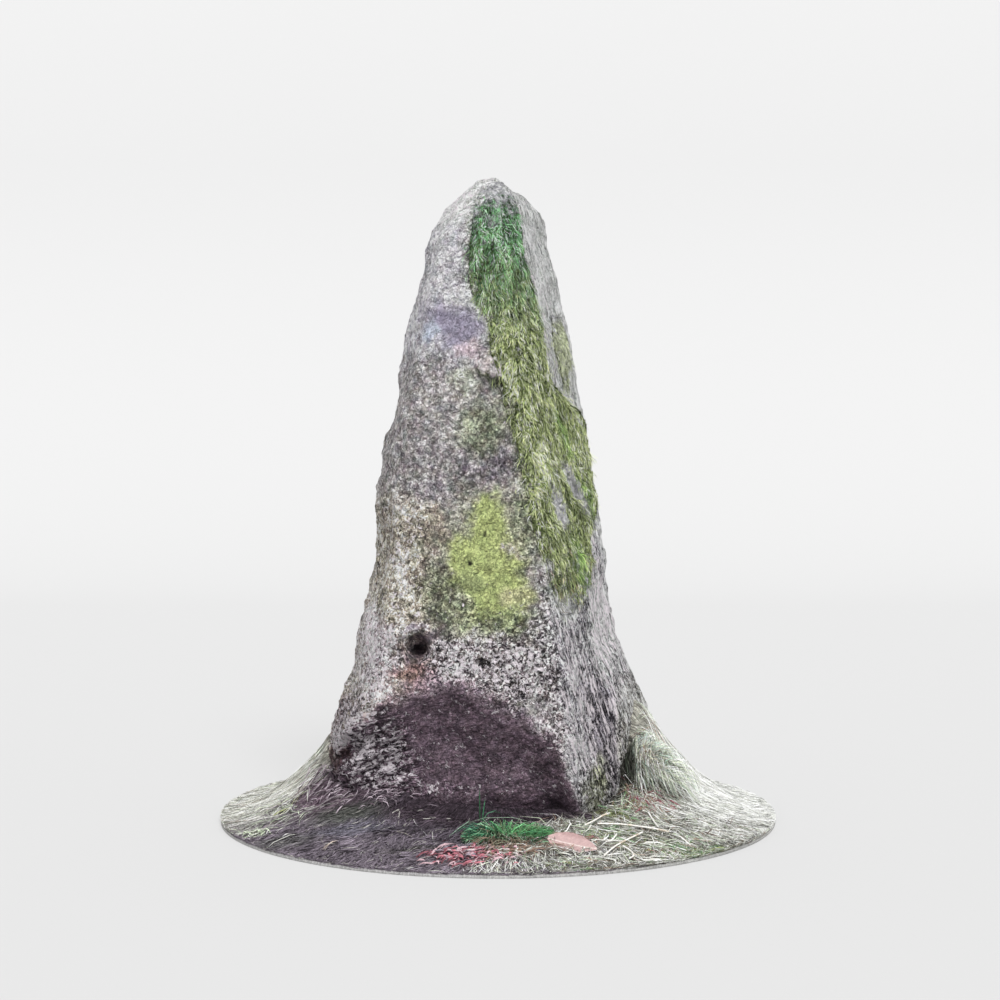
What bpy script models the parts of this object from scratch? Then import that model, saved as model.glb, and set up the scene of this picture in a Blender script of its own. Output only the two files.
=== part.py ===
"""A weathered granite standing stone in the round of turf that it was cut out with.

Metres, +Z up. The origin is the centre of the round's flat underside. -Y is the front, where the
stone's broad face and its undercut foot are, and +X is the side that the moss hangs down.
"""

import math

import bmesh
import bpy
import numpy as np
from mathutils import Euler, Vector, noise
from mathutils.bvhtree import BVHTree

# ---- driving dimensions ----
TURF_RADIUS = 0.56
RIM_HEIGHT = 0.007          # thickness of the turf at its cut edge
RIM_BEVEL = 0.003
FRONT_RISE = 0.043          # how far the ground climbs from the rim to the stone's front foot
FRONT_FOOT_RADIUS = 0.22    # where that climb ends
BANK_RISE = 0.203           # how far the bank at the sides climbs above the front ground
BANK_TOP_RADIUS = 0.290     # where the bank is that high, and levels off
BANK_STEEPNESS = 2.5
TURF_LUMP_SIZE = 0.09
TURF_LUMP_RISE = 0.006
RIM_FADE = 0.05             # the lumps fade out over this distance from the cut edge
STONE_TOP = 1.288
ARRIS_SHARPNESS = 13        # exponent that rounds the stone's corners: higher is sharper
WAVE_SIZE = 0.17            # broad swells of the stone's surface
WAVE_RISE = 0.009
CREASE_SIZE = 0.06          # creases between its flaked lumps
CREASE_DEPTH = 0.010
CREASE_WIDTH = 0.45
MOSS_DEPTH = 0.016
MOSS_EDGE_DEPTH = 0.007
MOSS_ROOT = 0.009           # how far the moss blank starts inside the stone before it is cut back
MOSS_ROW_HEIGHT = 0.025
MOSS_LUMP_SIZE = 0.05
MOSS_LUMP_RISE = 0.003
MOSS_MARGIN = 8             # the mat is full depth from one eighth of its width inwards
MOSS_CROWDING = 1.4         # draws the mat's columns together where it crosses the ridge
GAP = 0.0004                # between pieces that touch

STONE_COLUMNS = 176
STONE_ROW_HEIGHT = 0.0085
STONE_TRIANGLES = 4600
TURF_COLUMNS = 48
TURF_RINGS = (0.556, 0.52, 0.48, 0.445, 0.41, 0.375, 0.34, 0.305, 0.27, 0.235, 0.20, 0.14)
FOOT_BELOW = 0.03           # the stone's blank starts this far below its flat foot
CAST_FROM = 0.06            # rays that look for a surface start this far outside it

# The stone's arrises, the rounded corners between its faces, anticlockwise as seen from above.
# Each is a line of (height, x, y) from the foot to the top.
ARRISES = {
    "front_left": (
        (-0.05, -0.300, -0.200), (0.08, -0.300, -0.205), (0.20, -0.275, -0.210), (0.33, -0.245, -0.205),
        (0.48, -0.225, -0.185), (0.64, -0.215, -0.175), (0.80, -0.190, -0.160), (0.95, -0.160, -0.140),
        (1.08, -0.135, -0.120), (1.18, -0.110, -0.095), (1.25, -0.070, -0.055), (1.288, -0.040, -0.025),
    ),
    "ridge": (
        (-0.05, 0.165, -0.260), (0.08, 0.165, -0.262), (0.20, 0.145, -0.262), (0.33, 0.125, -0.255),
        (0.48, 0.105, -0.235), (0.64, 0.078, -0.220), (0.80, 0.055, -0.200), (0.95, 0.040, -0.175),
        (1.08, 0.025, -0.150), (1.18, 0.015, -0.125), (1.25, 0.005, -0.085), (1.288, -0.010, -0.035),
    ),
    "right": (
        (-0.05, 0.365, 0.090), (0.10, 0.358, 0.090), (0.20, 0.340, 0.090), (0.27, 0.312, 0.095),
        (0.35, 0.272, 0.100), (0.43, 0.250, 0.100), (0.56, 0.230, 0.100), (0.66, 0.212, 0.095),
        (0.80, 0.192, 0.085), (0.95, 0.163, 0.075), (1.08, 0.131, 0.065), (1.17, 0.111, 0.055),
        (1.23, 0.098, 0.045), (1.26, 0.060, 0.030), (1.288, 0.010, 0.015),
    ),
    "back_right": (
        (-0.05, 0.190, 0.265), (0.20, 0.165, 0.255), (0.45, 0.130, 0.230), (0.70, 0.105, 0.205),
        (0.95, 0.085, 0.170), (1.12, 0.065, 0.135), (1.22, 0.045, 0.100), (1.288, 0.000, 0.045),
    ),
    "back_left": (
        (-0.05, -0.200, 0.250), (0.20, -0.180, 0.245), (0.45, -0.150, 0.225), (0.70, -0.130, 0.200),
        (0.95, -0.105, 0.165), (1.12, -0.085, 0.125), (1.22, -0.065, 0.085), (1.288, -0.035, 0.035),
    ),
    "left": (
        (-0.05, -0.380, 0.040), (0.10, -0.370, 0.040), (0.20, -0.338, 0.040), (0.30, -0.312, 0.040),
        (0.45, -0.278, 0.040), (0.56, -0.257, 0.040), (0.67, -0.256, 0.040), (0.75, -0.246, 0.040),
        (0.82, -0.216, 0.035), (0.92, -0.203, 0.030), (1.03, -0.188, 0.025), (1.10, -0.158, 0.020),
        (1.19, -0.141, 0.015), (1.235, -0.103, 0.010), (1.265, -0.072, 0.005), (1.288, -0.045, 0.000),
    ),
}

# The arch over the hollow in the front foot: (x, height) from left to right.
HOLLOW_ARCH = (
    (-0.34, 0.100), (-0.30, 0.165), (-0.24, 0.245), (-0.165, 0.285), (-0.06, 0.290),
    (0.02, 0.260), (0.08, 0.210), (0.12, 0.160), (0.145, 0.090), (0.165, 0.000),
)
HOLLOW_DEPTH = 0.045
HOLLOW_FADE = 0.13          # distance below the arch over which the hollow deepens
BROW_RISE = 0.007           # the swelling just over the arch
BROW_HALF_HEIGHT = 0.035

# Dents and bumps in the front: (x, height, half width, half height, depth, tilt in degrees).
# A negative depth is a bump. A tilt turns the right-hand end up.
FRONT_MARKS = (
    (-0.158, 0.362, 0.021, 0.025, 0.044, 20),     # the deep pit
    (-0.175, 0.395, 0.032, 0.012, -0.008, 10),    # the lip over it
    (-0.130, 0.330, 0.040, 0.030, 0.010, -30),    # the run-off below it
    (-0.085, 0.985, 0.058, 0.034, 0.013, -20),    # the shallow pan near the top
    (-0.080, 0.940, 0.065, 0.014, -0.006, -12),   # the rim under the pan
    (-0.018, 0.905, 0.024, 0.022, -0.009, 0),     # two knobs beside the moss
    (0.000, 0.880, 0.017, 0.015, -0.006, 0),
    (-0.080, 0.690, 0.110, 0.045, 0.010, 25),     # a flaked patch above the green crust
    (-0.060, 0.560, 0.070, 0.090, -0.008, 10),    # the swelling that the crust grows on
    (-0.215, 0.560, 0.045, 0.110, 0.009, -5),     # the slack beside the left edge
    (-0.270, 0.195, 0.030, 0.011, -0.010, 42),    # the lip over the left joint
    (-0.290, 0.160, 0.062, 0.010, 0.026, 42),     # the open joint at the left foot
    (-0.255, 0.120, 0.070, 0.007, 0.009, 20),     # thin ledges below it
    (-0.235, 0.095, 0.075, 0.007, 0.009, 16),
    (-0.215, 0.070, 0.070, 0.007, 0.008, 12),
    (0.060, 0.330, 0.050, 0.035, -0.008, -40),
    (0.075, 0.040, 0.190, 0.026, 0.018, 0),       # the undercut at the very foot
)

# Shallow flutes that run down the right-hand face: (bearing in degrees, half width, depth).
RIGHT_FLUTES = ((-52, 5.0, 0.006), (-33, 4.0, 0.008), (-14, 5.0, 0.006), (6, 5.0, 0.007))
FLUTE_LEAN = 14             # degrees that they turn by over each metre of height
FLUTE_LEVEL = 0.6           # the height at which they stand at their own bearings
FLUTE_TOP = 0.03            # they end this far below the top, and fade over FLUTE_FADE
FLUTE_FADE = 0.12

# The ground against the stone, by compass bearing about the axis: how much of the bank is there.
BANK_BY_BEARING = (
    (-180, 1.10), (-171, 0.76), (-157, 0.34), (-143, 0.19), (-128, 0.08), (-112, 0.02), (-95, 0.00),
    (-60, 0.00), (-38, 0.02), (-22, 0.33),
    (-10, 0.58), (0, 0.95), (20, 0.88), (60, 0.66), (110, 0.60), (150, 0.85), (180, 1.10),
)

# The moss, by height: (height, left edge, right edge), the edges as bearings in degrees about the
# stone's middle.
MOSS_CURTAIN = (
    (0.425, -56, -46), (0.470, -60, -21), (0.515, -63, -10), (0.560, -67, -9), (0.610, -68, 8),
    (0.700, -71, 13), (0.765, -73, 14), (0.820, -78, 11), (0.845, -79, -6), (0.880, -80, -31),
    (0.940, -86, -38), (1.000, -87, -35), (1.040, -96, -35), (1.080, -101, -38), (1.120, -102, -47),
    (1.180, -103, -49), (1.235, -107, -46), (1.275, -104, -48),
)
MOSS_STRIP = (
    (0.866, -9, 3), (0.920, -16, 3), (0.975, -16, 5), (1.030, -8, 4),
)

TUFT_LUMPS = 0.12
TUFT_LUMP_SCALE = 1.7
TUFT_ROOT = 0.4             # how deep a tuft's blank goes, as a share of its height
TUFTS = {
    # name: (x, y, half length, half depth, height, turn in degrees)
    "grass_tuft_front": (0.020, -0.380, 0.080, 0.048, 0.037, -4),
    "grass_tuft_right": (0.300, -0.090, 0.055, 0.045, 0.075, 20),
}

LEAF_AT = (0.134, -0.430)
LEAF_LENGTH = 0.100
LEAF_WIDTH = 0.054
LEAF_THICKNESS = 0.0012
LEAF_CUP = 0.005
LEAF_ROWS = 8
LEAF_TIP = 0.02             # share of the length left off at each pointed end
LEAF_BROADEST = 0.85        # exponents that set where the leaf is broadest and how full its ends are
LEAF_FULLNESS = 0.8
LEAF_TURN = -20             # degrees about Z
LEAF_TILT = 27              # how far its back edge is propped up
LEAF_PITCH = 9              # how far its left end is propped up

STALK_RADIUS = 0.0020
STALK_POINTS = 8
# Dry stalks on the ground, each a line of (x, y) that is dropped onto it.
STALKS = {
    "dry_stalk_1": ((0.162, -0.322), (0.180, -0.290), (0.198, -0.256), (0.214, -0.230)),
    "dry_stalk_2": ((0.187, -0.308), (0.236, -0.301), (0.290, -0.312), (0.318, -0.331)),
    "dry_stalk_3": ((0.188, -0.490), (0.206, -0.445), (0.230, -0.400), (0.268, -0.344)),
    "dry_stalk_4": ((0.289, -0.218), (0.294, -0.245), (0.298, -0.270), (0.301, -0.294)),
    "dry_stalk_5": ((0.226, -0.428), (0.238, -0.450), (0.242, -0.474), (0.233, -0.492)),
}
CLEARANCE = 0.0012          # what lies on the turf stays this far above its faces

STONE_GREY = (0.36, 0.33, 0.34, 1.0)
SOIL_BROWN = (0.16, 0.13, 0.14, 1.0)
MOSS_GREEN = (0.13, 0.19, 0.06, 1.0)
GRASS_GREEN = (0.16, 0.30, 0.13, 1.0)
LEAF_PINK = (0.56, 0.40, 0.38, 1.0)
STALK_CREAM = (0.62, 0.57, 0.44, 1.0)


# ---- small helpers ----
def smooth_curve(knots, values, at):
    """A smooth line through unevenly spaced knots."""
    knots, values = np.asarray(knots, float), np.asarray(values, float)
    at = np.clip(at, knots[0], knots[-1])
    slopes = np.gradient(values, knots)
    i = np.clip(np.searchsorted(knots, at) - 1, 0, len(knots) - 2)
    span = knots[i + 1] - knots[i]
    t = (at - knots[i]) / span
    return (
        (2 * t**3 - 3 * t**2 + 1) * values[i]
        + (t**3 - 2 * t**2 + t) * span * slopes[i]
        + (3 * t**2 - 2 * t**3) * values[i + 1]
        + (t**3 - t**2) * span * slopes[i + 1]
    )


def smooth_step(t):
    t = np.clip(t, 0, 1)
    return t * t * (3 - 2 * t)


def noise_at(points, size, seed):
    """Soft noise from about -1 to 1, with lumps of that size."""
    offset = Vector((seed * 7.3, seed * 3.1, seed * 5.7))
    flat = [noise.fractal(Vector(p) / size + offset, 0.8, 2.1, 3) for p in points.reshape(-1, 3)]
    return np.array(flat).reshape(points.shape[:-1])


def material(name, colour, roughness):
    made = bpy.data.materials.new(name)
    made.use_nodes = True
    shader = made.node_tree.nodes["Principled BSDF"]
    shader.inputs["Base Color"].default_value = colour
    shader.inputs["Roughness"].default_value = roughness
    made.diffuse_color = colour
    return made


def collection(name, helper=False):
    made = bpy.data.collections.new(name)
    bpy.context.scene.collection.children.link(made)
    made.hide_render = helper
    return made


def mesh_object(name, bm, finish, home):
    """An object of triangles made from a bmesh, which is then freed."""
    bmesh.ops.recalc_face_normals(bm, faces=bm.faces)
    bmesh.ops.triangulate(bm, faces=bm.faces)
    mesh = bpy.data.meshes.new(name)
    bm.to_mesh(mesh)
    bm.free()
    mesh.materials.append(finish)
    made = bpy.data.objects.new(name, mesh)
    home.objects.link(made)
    return made


def apply_modifiers(obj):
    """Applies them, and triangulates, so that a copy of the object has the very same facets."""
    graph = bpy.context.evaluated_depsgraph_get()
    mesh = bpy.data.meshes.new_from_object(obj.evaluated_get(graph))
    obj.modifiers.clear()
    bm = bmesh.new()
    bm.from_mesh(mesh)
    bmesh.ops.triangulate(bm, faces=bm.faces)
    bm.to_mesh(mesh)
    bm.free()
    obj.data = mesh


def grown_copy(obj, by, helpers):
    """A cutter: the object with its surface moved outwards."""
    bm = bmesh.new()
    bm.from_mesh(obj.data)
    bm.normal_update()
    moves = [v.normal * by for v in bm.verts]
    for vert, move in zip(bm.verts, moves):
        vert.co += move
    made = mesh_object(obj.name + "_cutter", bm, obj.data.materials[0], helpers)
    made.hide_render = True
    made.display_type = "WIRE"
    return made


def surface_tree(obj):
    return BVHTree.FromPolygons([v.co for v in obj.data.vertices], [p.vertices for p in obj.data.polygons])


def cut(obj, cutter):
    boolean = obj.modifiers.new("cut", "BOOLEAN")
    boolean.operation = "DIFFERENCE"
    boolean.object = cutter
    apply_modifiers(obj)


def grid_solid(rows, closed_columns):
    """A bmesh of quads between rows of points, with the first and last row filled."""
    bm = bmesh.new()
    rings = [[bm.verts.new(p) for p in row] for row in rows]
    count = len(rings[0])
    last = count if closed_columns else count - 1
    for lower, upper in zip(rings, rings[1:]):
        for j in range(last):
            k = (j + 1) % count
            bm.faces.new((lower[j], lower[k], upper[k], upper[j]))
    if closed_columns:
        bm.faces.new(rings[0])
        bm.faces.new(rings[-1])
    return bm


# ---- the stone ----
def arris_corners(heights):
    """The arrises' (x, y) at those heights: an array of heights by arrises by 2."""
    corners = []
    for line in ARRISES.values():
        z, x, y = np.array(line).T
        corners.append(np.stack([smooth_curve(z, x, heights), smooth_curve(z, y, heights)], axis=-1))
    return np.stack(corners, axis=-2)


def bare_surface(bearings, heights):
    """The stone before it weathered: a rounded polygon at every height."""
    corners = arris_corners(heights)
    middle = corners.mean(axis=-2)
    corners = corners - middle[..., None, :]
    along = np.roll(corners, -1, axis=-2) - corners
    outward = np.stack([along[..., 1], -along[..., 0]], axis=-1)
    outward /= np.linalg.norm(outward, axis=-1, keepdims=True)
    distance = (outward * corners).sum(axis=-1)
    ray = np.stack([np.cos(bearings), np.sin(bearings)], axis=-1)
    facing = np.maximum((outward * ray[..., None, :]).sum(axis=-1), 0) / distance
    radius = (facing**ARRIS_SHARPNESS).sum(axis=-1) ** (-1 / ARRIS_SHARPNESS)
    flat = middle + ray * radius[..., None]
    return np.concatenate([flat, np.broadcast_to(heights, flat.shape[:-1])[..., None]], axis=-1)


def outward_normals(bearings, heights):
    turn, climb = 0.02, 0.004
    round_it = bare_surface(bearings + turn, heights) - bare_surface(bearings - turn, heights)
    up_it = bare_surface(bearings, heights + climb) - bare_surface(bearings, heights - climb)
    normal = np.cross(round_it, up_it)
    return normal / np.linalg.norm(normal, axis=-1, keepdims=True)


def mark(points, x, height, half_width, half_height, depth, tilt):
    """How deep one dent in the front goes at each point."""
    c, s = math.cos(math.radians(tilt)), math.sin(math.radians(tilt))
    dx, dz = points[..., 0] - x, points[..., 2] - height
    along = (dx * c + dz * s) / half_width
    across = (dz * c - dx * s) / half_height
    return depth * np.exp(-((along**2 + across**2) ** 1.5))


def weathering(points, bearings):
    """How far the weathered surface stands out from the bare one."""
    front = smooth_step((-points[..., 1] - 0.02) / 0.06)
    arch = np.array(HOLLOW_ARCH)
    below = smooth_curve(arch[:, 0], arch[:, 1], points[..., 0]) - points[..., 2]
    hollow = HOLLOW_DEPTH * smooth_step(below / HOLLOW_FADE)
    brow = BROW_RISE * np.exp(-((below / BROW_HALF_HEIGHT) ** 2))
    marks = sum(mark(points, *numbers) for numbers in FRONT_MARKS)
    out = (brow - hollow - marks) * front
    degrees = np.degrees(bearings)
    for bearing, half_width, depth in RIGHT_FLUTES:
        lean = bearing - FLUTE_LEAN * (points[..., 2] - FLUTE_LEVEL)
        fade = smooth_step((STONE_TOP - FLUTE_TOP - points[..., 2]) / FLUTE_FADE)
        out = out - depth * fade * np.exp(-(((degrees - lean) / half_width) ** 2))
    out = out + WAVE_RISE * noise_at(points, WAVE_SIZE, 1)
    ridges = np.abs(noise_at(points * (1, 1, 0.7), CREASE_SIZE, 2))
    return out - CREASE_DEPTH * np.clip(CREASE_WIDTH - ridges, 0, 1)


def weathered_surface(bearings, heights):
    bare = bare_surface(bearings, heights)
    return bare + outward_normals(bearings, heights) * weathering(bare, bearings)[..., None]


def build_stone(finish, home):
    bearings = np.linspace(-math.pi, math.pi, STONE_COLUMNS, endpoint=False)
    heights = np.arange(-FOOT_BELOW, STONE_TOP, STONE_ROW_HEIGHT)
    rows = weathered_surface(*np.meshgrid(bearings, heights))
    stone = mesh_object("standing_stone", grid_solid(rows, closed_columns=True), finish, home)
    thin = stone.modifiers.new("fewer faces", "DECIMATE")
    thin.ratio = STONE_TRIANGLES / (2 * len(bearings) * len(heights))
    apply_modifiers(stone)
    level_foot(stone)
    return stone


def level_foot(obj):
    """Cuts the object off flat at height 0."""
    bm = bmesh.new()
    bm.from_mesh(obj.data)
    everything = bm.verts[:] + bm.edges[:] + bm.faces[:]
    bmesh.ops.bisect_plane(bm, geom=everything, plane_co=(0, 0, 0), plane_no=(0, 0, 1), clear_inner=True)
    bmesh.ops.holes_fill(bm, edges=[e for e in bm.edges if e.is_boundary])
    bmesh.ops.recalc_face_normals(bm, faces=bm.faces)
    bmesh.ops.triangulate(bm, faces=bm.faces)
    bm.to_mesh(obj.data)
    bm.free()


# ---- the turf ----
def ground_height(x, y):
    """The turf's surface over a point of the plan."""
    radius = np.hypot(x, y)
    bearing = np.degrees(np.arctan2(y, x))
    share = smooth_curve(*np.array(BANK_BY_BEARING).T, bearing)
    inward = np.clip(TURF_RADIUS - radius, 0, None)
    rise = FRONT_RISE * np.clip(inward / (TURF_RADIUS - FRONT_FOOT_RADIUS), 0, 1)
    bank = BANK_RISE * np.minimum(inward / (TURF_RADIUS - BANK_TOP_RADIUS), 1) ** BANK_STEEPNESS
    lumps = TURF_LUMP_RISE * noise_at(np.stack([x, y, 0 * x], axis=-1), TURF_LUMP_SIZE, 3)
    fade = smooth_step(inward / RIM_FADE)
    return RIM_HEIGHT + rise + np.clip(share, 0, None) * bank + lumps * fade


def build_turf(stone_cutter, finish, home):
    turns = np.linspace(0, 2 * math.pi, TURF_COLUMNS, endpoint=False)
    rows = [np.stack([TURF_RADIUS * np.cos(turns), TURF_RADIUS * np.sin(turns), z + 0 * turns], axis=-1)
            for z in (0, RIM_HEIGHT - RIM_BEVEL)]
    for radius in TURF_RINGS:
        x, y = radius * np.cos(turns), radius * np.sin(turns)
        rows.append(np.stack([x, y, ground_height(x, y)], axis=-1))
    turf = mesh_object("turf_round", grid_solid(rows, closed_columns=True), finish, home)
    cut(turf, stone_cutter)
    return turf


# ---- the moss ----
def onto(obj, points, normals):
    """The points moved along their normals onto the object's surface."""
    tree = surface_tree(obj)
    moved = points.copy()
    for place in np.ndindex(points.shape[:-1]):
        start = Vector(points[place] + CAST_FROM * normals[place])
        hit = tree.ray_cast(start, Vector(-normals[place]))[0]
        if hit:
            moved[place] = hit
    return moved


def keep_largest(obj):
    """Drops the crumbs that a cut left beside the main body."""
    bm = bmesh.new()
    bm.from_mesh(obj.data)
    loose, bodies = set(bm.verts), []
    while loose:
        body, front = set(), [loose.pop()]
        while front:
            vert = front.pop()
            body.add(vert)
            near = {edge.other_vert(vert) for edge in vert.link_edges} & loose
            loose -= near
            front.extend(near)
        bodies.append(body)
    largest = max(bodies, key=len)
    bmesh.ops.delete(bm, geom=[v for v in bm.verts if v not in largest])
    bm.to_mesh(obj.data)
    bm.free()


def build_moss(name, edges, columns, stone, stone_cutter, finish, home):
    """A mat on the stone's surface between two edges, thin at its margin."""
    height_line, left_line, right_line = np.array(edges, float).T
    heights = np.arange(height_line[0], height_line[-1] + 0.001, MOSS_ROW_HEIGHT)
    left, right = (np.radians(smooth_curve(height_line, line, heights)) for line in (left_line, right_line))
    across = np.linspace(0, 1, columns) ** MOSS_CROWDING
    bearings = left[:, None] + (right - left)[:, None] * across
    grid = (bearings, np.broadcast_to(heights[:, None], bearings.shape))
    normals = outward_normals(*grid)
    surface = onto(stone, bare_surface(*grid), normals)
    ends = np.minimum(np.arange(len(heights)), np.arange(len(heights))[::-1])[:, None]
    inside = np.minimum(np.minimum(across, 1 - across)[None, :] * MOSS_MARGIN, ends / 2)
    lumps = MOSS_LUMP_RISE * noise_at(surface, MOSS_LUMP_SIZE, 4)
    depth = MOSS_EDGE_DEPTH + (MOSS_DEPTH - MOSS_EDGE_DEPTH + lumps) * smooth_step(inside)
    outer = surface + normals * depth[..., None]
    inner = surface - normals * MOSS_ROOT
    rows = [np.concatenate([o, i[::-1]]) for o, i in zip(outer, inner)]
    mat = mesh_object(name, grid_solid(rows, closed_columns=True), finish, home)
    cut(mat, stone_cutter)
    keep_largest(mat)
    return mat


# ---- what grows and lies on the turf ----
def build_tuft(name, numbers, cutters, finish, home):
    """A low tussock, cut to the ground and the stone that it grows against."""
    x, y, half_length, half_depth, height, turn = numbers
    bm = bmesh.new()
    bmesh.ops.create_icosphere(bm, subdivisions=2, radius=1)
    c, s = math.cos(math.radians(turn)), math.sin(math.radians(turn))
    base = float(ground_height(np.array(x), np.array(y)))
    for vert in bm.verts:
        lump = 1 + TUFT_LUMPS * noise.noise(vert.co * TUFT_LUMP_SCALE)
        px, py, pz = vert.co * lump
        pz = max(pz, -TUFT_ROOT)
        px, py = px * half_length, py * half_depth
        vert.co = (x + px * c - py * s, y + px * s + py * c, base + pz * height)
    tuft = mesh_object(name, bm, finish, home)
    for cutter in cutters:
        cut(tuft, cutter)


def dropper(turf):
    """A function that gives the height of the turf under (x, y)."""
    tree = surface_tree(turf)

    def height_under(x, y):
        return tree.ray_cast(Vector((x, y, 1.0)), Vector((0, 0, -1)))[0].z

    return height_under


def build_leaf(height_under, finish, home):
    """A fallen leaf: a pointed oval, cupped along its midrib and propped on the turf."""
    turn = Euler([math.radians(a) for a in (LEAF_TILT, LEAF_PITCH, LEAF_TURN)]).to_matrix()
    rows = []
    for t in np.linspace(LEAF_TIP, 1 - LEAF_TIP, LEAF_ROWS):
        half = LEAF_WIDTH / 2 * math.sin(math.pi * t**LEAF_BROADEST) ** LEAF_FULLNESS
        line = [((t - 0.5) * LEAF_LENGTH, side * half, LEAF_CUP * side**2) for side in (-1, 0, 1)]
        rows.append([turn @ Vector(p) + Vector((*LEAF_AT, 0)) for p in line])
    lift = max(height_under(p.x, p.y) - p.z for row in rows for p in row) + CLEARANCE
    bm = grid_solid([[p + Vector((0, 0, lift)) for p in row] for row in rows], closed_columns=False)
    leaf = mesh_object("fallen_leaf", bm, finish, home)
    if leaf.data.polygons[0].normal.z < 0:
        leaf.data.flip_normals()
    skin = leaf.modifiers.new("thickness", "SOLIDIFY")
    skin.thickness = LEAF_THICKNESS
    skin.offset = 1


def build_stalk(name, line, height_under, finish, home):
    """A dry stalk that lies along the ground."""
    plan = np.array(line)
    knots = np.arange(len(plan))
    steps = np.linspace(0, knots[-1], STALK_POINTS)
    x, y = (smooth_curve(knots, plan[:, i], steps) for i in (0, 1))
    ground = np.array([height_under(px, py) for px, py in zip(x, y)])
    bridged = np.convolve(np.pad(ground, 1, mode="edge"), (0.5, 0, 0.5), "valid")
    lifted = np.maximum(ground, bridged) + STALK_RADIUS + CLEARANCE
    curve = bpy.data.curves.new(name, "CURVE")
    curve.dimensions = "3D"
    curve.bevel_depth = STALK_RADIUS
    curve.bevel_resolution = 0
    curve.use_fill_caps = True
    spline = curve.splines.new("POLY")
    spline.points.add(len(x) - 1)
    for point, px, py, pz in zip(spline.points, x, y, lifted):
        point.co = (px, py, pz, 1)
    curve.materials.append(finish)
    home.objects.link(bpy.data.objects.new(name, curve))


def main():
    for obj in list(bpy.data.objects):
        bpy.data.objects.remove(obj)
    home = collection("standing stone")
    helpers = collection("cutters", helper=True)
    stone_finish = material("weathered_granite", STONE_GREY, 0.9)
    soil_finish = material("turf", SOIL_BROWN, 1.0)
    moss_finish = material("moss", MOSS_GREEN, 1.0)
    grass_finish = material("grass", GRASS_GREEN, 0.8)
    leaf_finish = material("dead_leaf", LEAF_PINK, 0.7)
    stalk_finish = material("dry_stalk", STALK_CREAM, 0.7)

    stone = build_stone(stone_finish, home)
    stone_cutter = grown_copy(stone, GAP, helpers)
    turf = build_turf(stone_cutter, soil_finish, home)
    build_moss("moss_curtain", MOSS_CURTAIN, 9, stone, stone_cutter, moss_finish, home)
    build_moss("moss_strip", MOSS_STRIP, 5, stone, stone_cutter, moss_finish, home)
    turf_cutter = grown_copy(turf, GAP, helpers)
    for name, numbers in TUFTS.items():
        build_tuft(name, numbers, (turf_cutter, stone_cutter), grass_finish, home)
    height_under = dropper(turf)
    build_leaf(height_under, leaf_finish, home)
    for name, line in STALKS.items():
        build_stalk(name, line, height_under, stalk_finish, home)


main()
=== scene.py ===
"""The looks of a mossy granite standing stone in its round of turf: finishes, moss, grass and litter.

Metres, +Z up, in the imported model's own frame: -Y is the stone's front, where the camera stands.
"""

import math

import bmesh
import bpy
import numpy as np
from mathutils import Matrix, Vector, noise
from mathutils.bvhtree import BVHTree


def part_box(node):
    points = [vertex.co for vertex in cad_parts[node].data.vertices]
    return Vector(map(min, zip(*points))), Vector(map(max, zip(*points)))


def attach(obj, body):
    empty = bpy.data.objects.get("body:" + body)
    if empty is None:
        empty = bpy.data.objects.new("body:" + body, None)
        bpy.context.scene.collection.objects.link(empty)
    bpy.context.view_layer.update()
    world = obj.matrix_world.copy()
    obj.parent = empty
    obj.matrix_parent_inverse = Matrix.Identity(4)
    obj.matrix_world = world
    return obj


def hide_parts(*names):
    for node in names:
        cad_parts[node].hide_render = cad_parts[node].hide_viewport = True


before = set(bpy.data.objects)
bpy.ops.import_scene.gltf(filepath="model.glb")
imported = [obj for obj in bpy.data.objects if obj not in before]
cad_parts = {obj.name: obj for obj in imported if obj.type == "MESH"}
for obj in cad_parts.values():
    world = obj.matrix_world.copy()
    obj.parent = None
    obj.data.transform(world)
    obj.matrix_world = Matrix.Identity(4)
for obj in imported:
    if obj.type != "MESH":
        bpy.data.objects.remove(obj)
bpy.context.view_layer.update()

TURF_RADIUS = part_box("turf_round")[1].x

# ---- the view ----
CAMERA_AT = (0.0038, -3.671, 0.745)
CAMERA_PITCH = 1.62         # degrees below level
CAMERA_LENS = 65
CAMERA_SENSOR = 36
SWEEP_DEPTH = 5.0           # how far behind the object the studio floor curves up
SWEEP_CURVE = 2.5
SWEEP_WIDTH = 24.0
SWEEP_HEIGHT = 9.0
SWEEP_FRONT = -14.0
SWEEP_STEPS = 16
PAPER_SCREEN_GREY = 150
PAPER_GLOW = 0.408
PAPER_GLOW_TO_METRE = 0.025     # how much more it glows with height
SKY_STRENGTH = 0.70
KEY_STRENGTH = 2.6
KEY_SPREAD = 32             # degrees
KEY_TURN = (42, 0, 12)      # degrees

# ---- colours, as linear light ----


def srgb(red, green, blue):
    """A linear colour from screen values of 0 to 255."""
    share = np.array((red, green, blue)) / 255
    return np.where(share <= 0.04045, share / 12.92, ((share + 0.055) / 1.055) ** 2.4)


LIGHT_GREY = srgb(232, 235, 232)
UPPER_GREY = srgb(196, 194, 199)
MIDDLE_GREY = srgb(152, 148, 148)
VIOLET_GREY = srgb(138, 132, 151)
VIOLET_DARK = srgb(122, 114, 128)
BLUE_GREY = srgb(182, 188, 202)
LIP_LILAC = srgb(208, 198, 210)
KNOB_PALE = srgb(216, 206, 206)
PINK_GREY = srgb(196, 178, 184)
CREAM = srgb(174, 166, 152)
BROWN_GREY = srgb(150, 138, 128)
GREEN_CRUST = srgb(160, 170, 114)
CRUST_HALO = srgb(150, 151, 124)
TAN_CRUST = srgb(178, 176, 138)
DARK_GREEN = srgb(112, 120, 92)
PALE_GREEN = srgb(168, 176, 152)
ROSE_GREY = srgb(152, 142, 144)
HOLLOW_BROWN = srgb(104, 89, 99)
FOOT_SHADOW_DARK = srgb(78, 66, 75)
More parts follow.
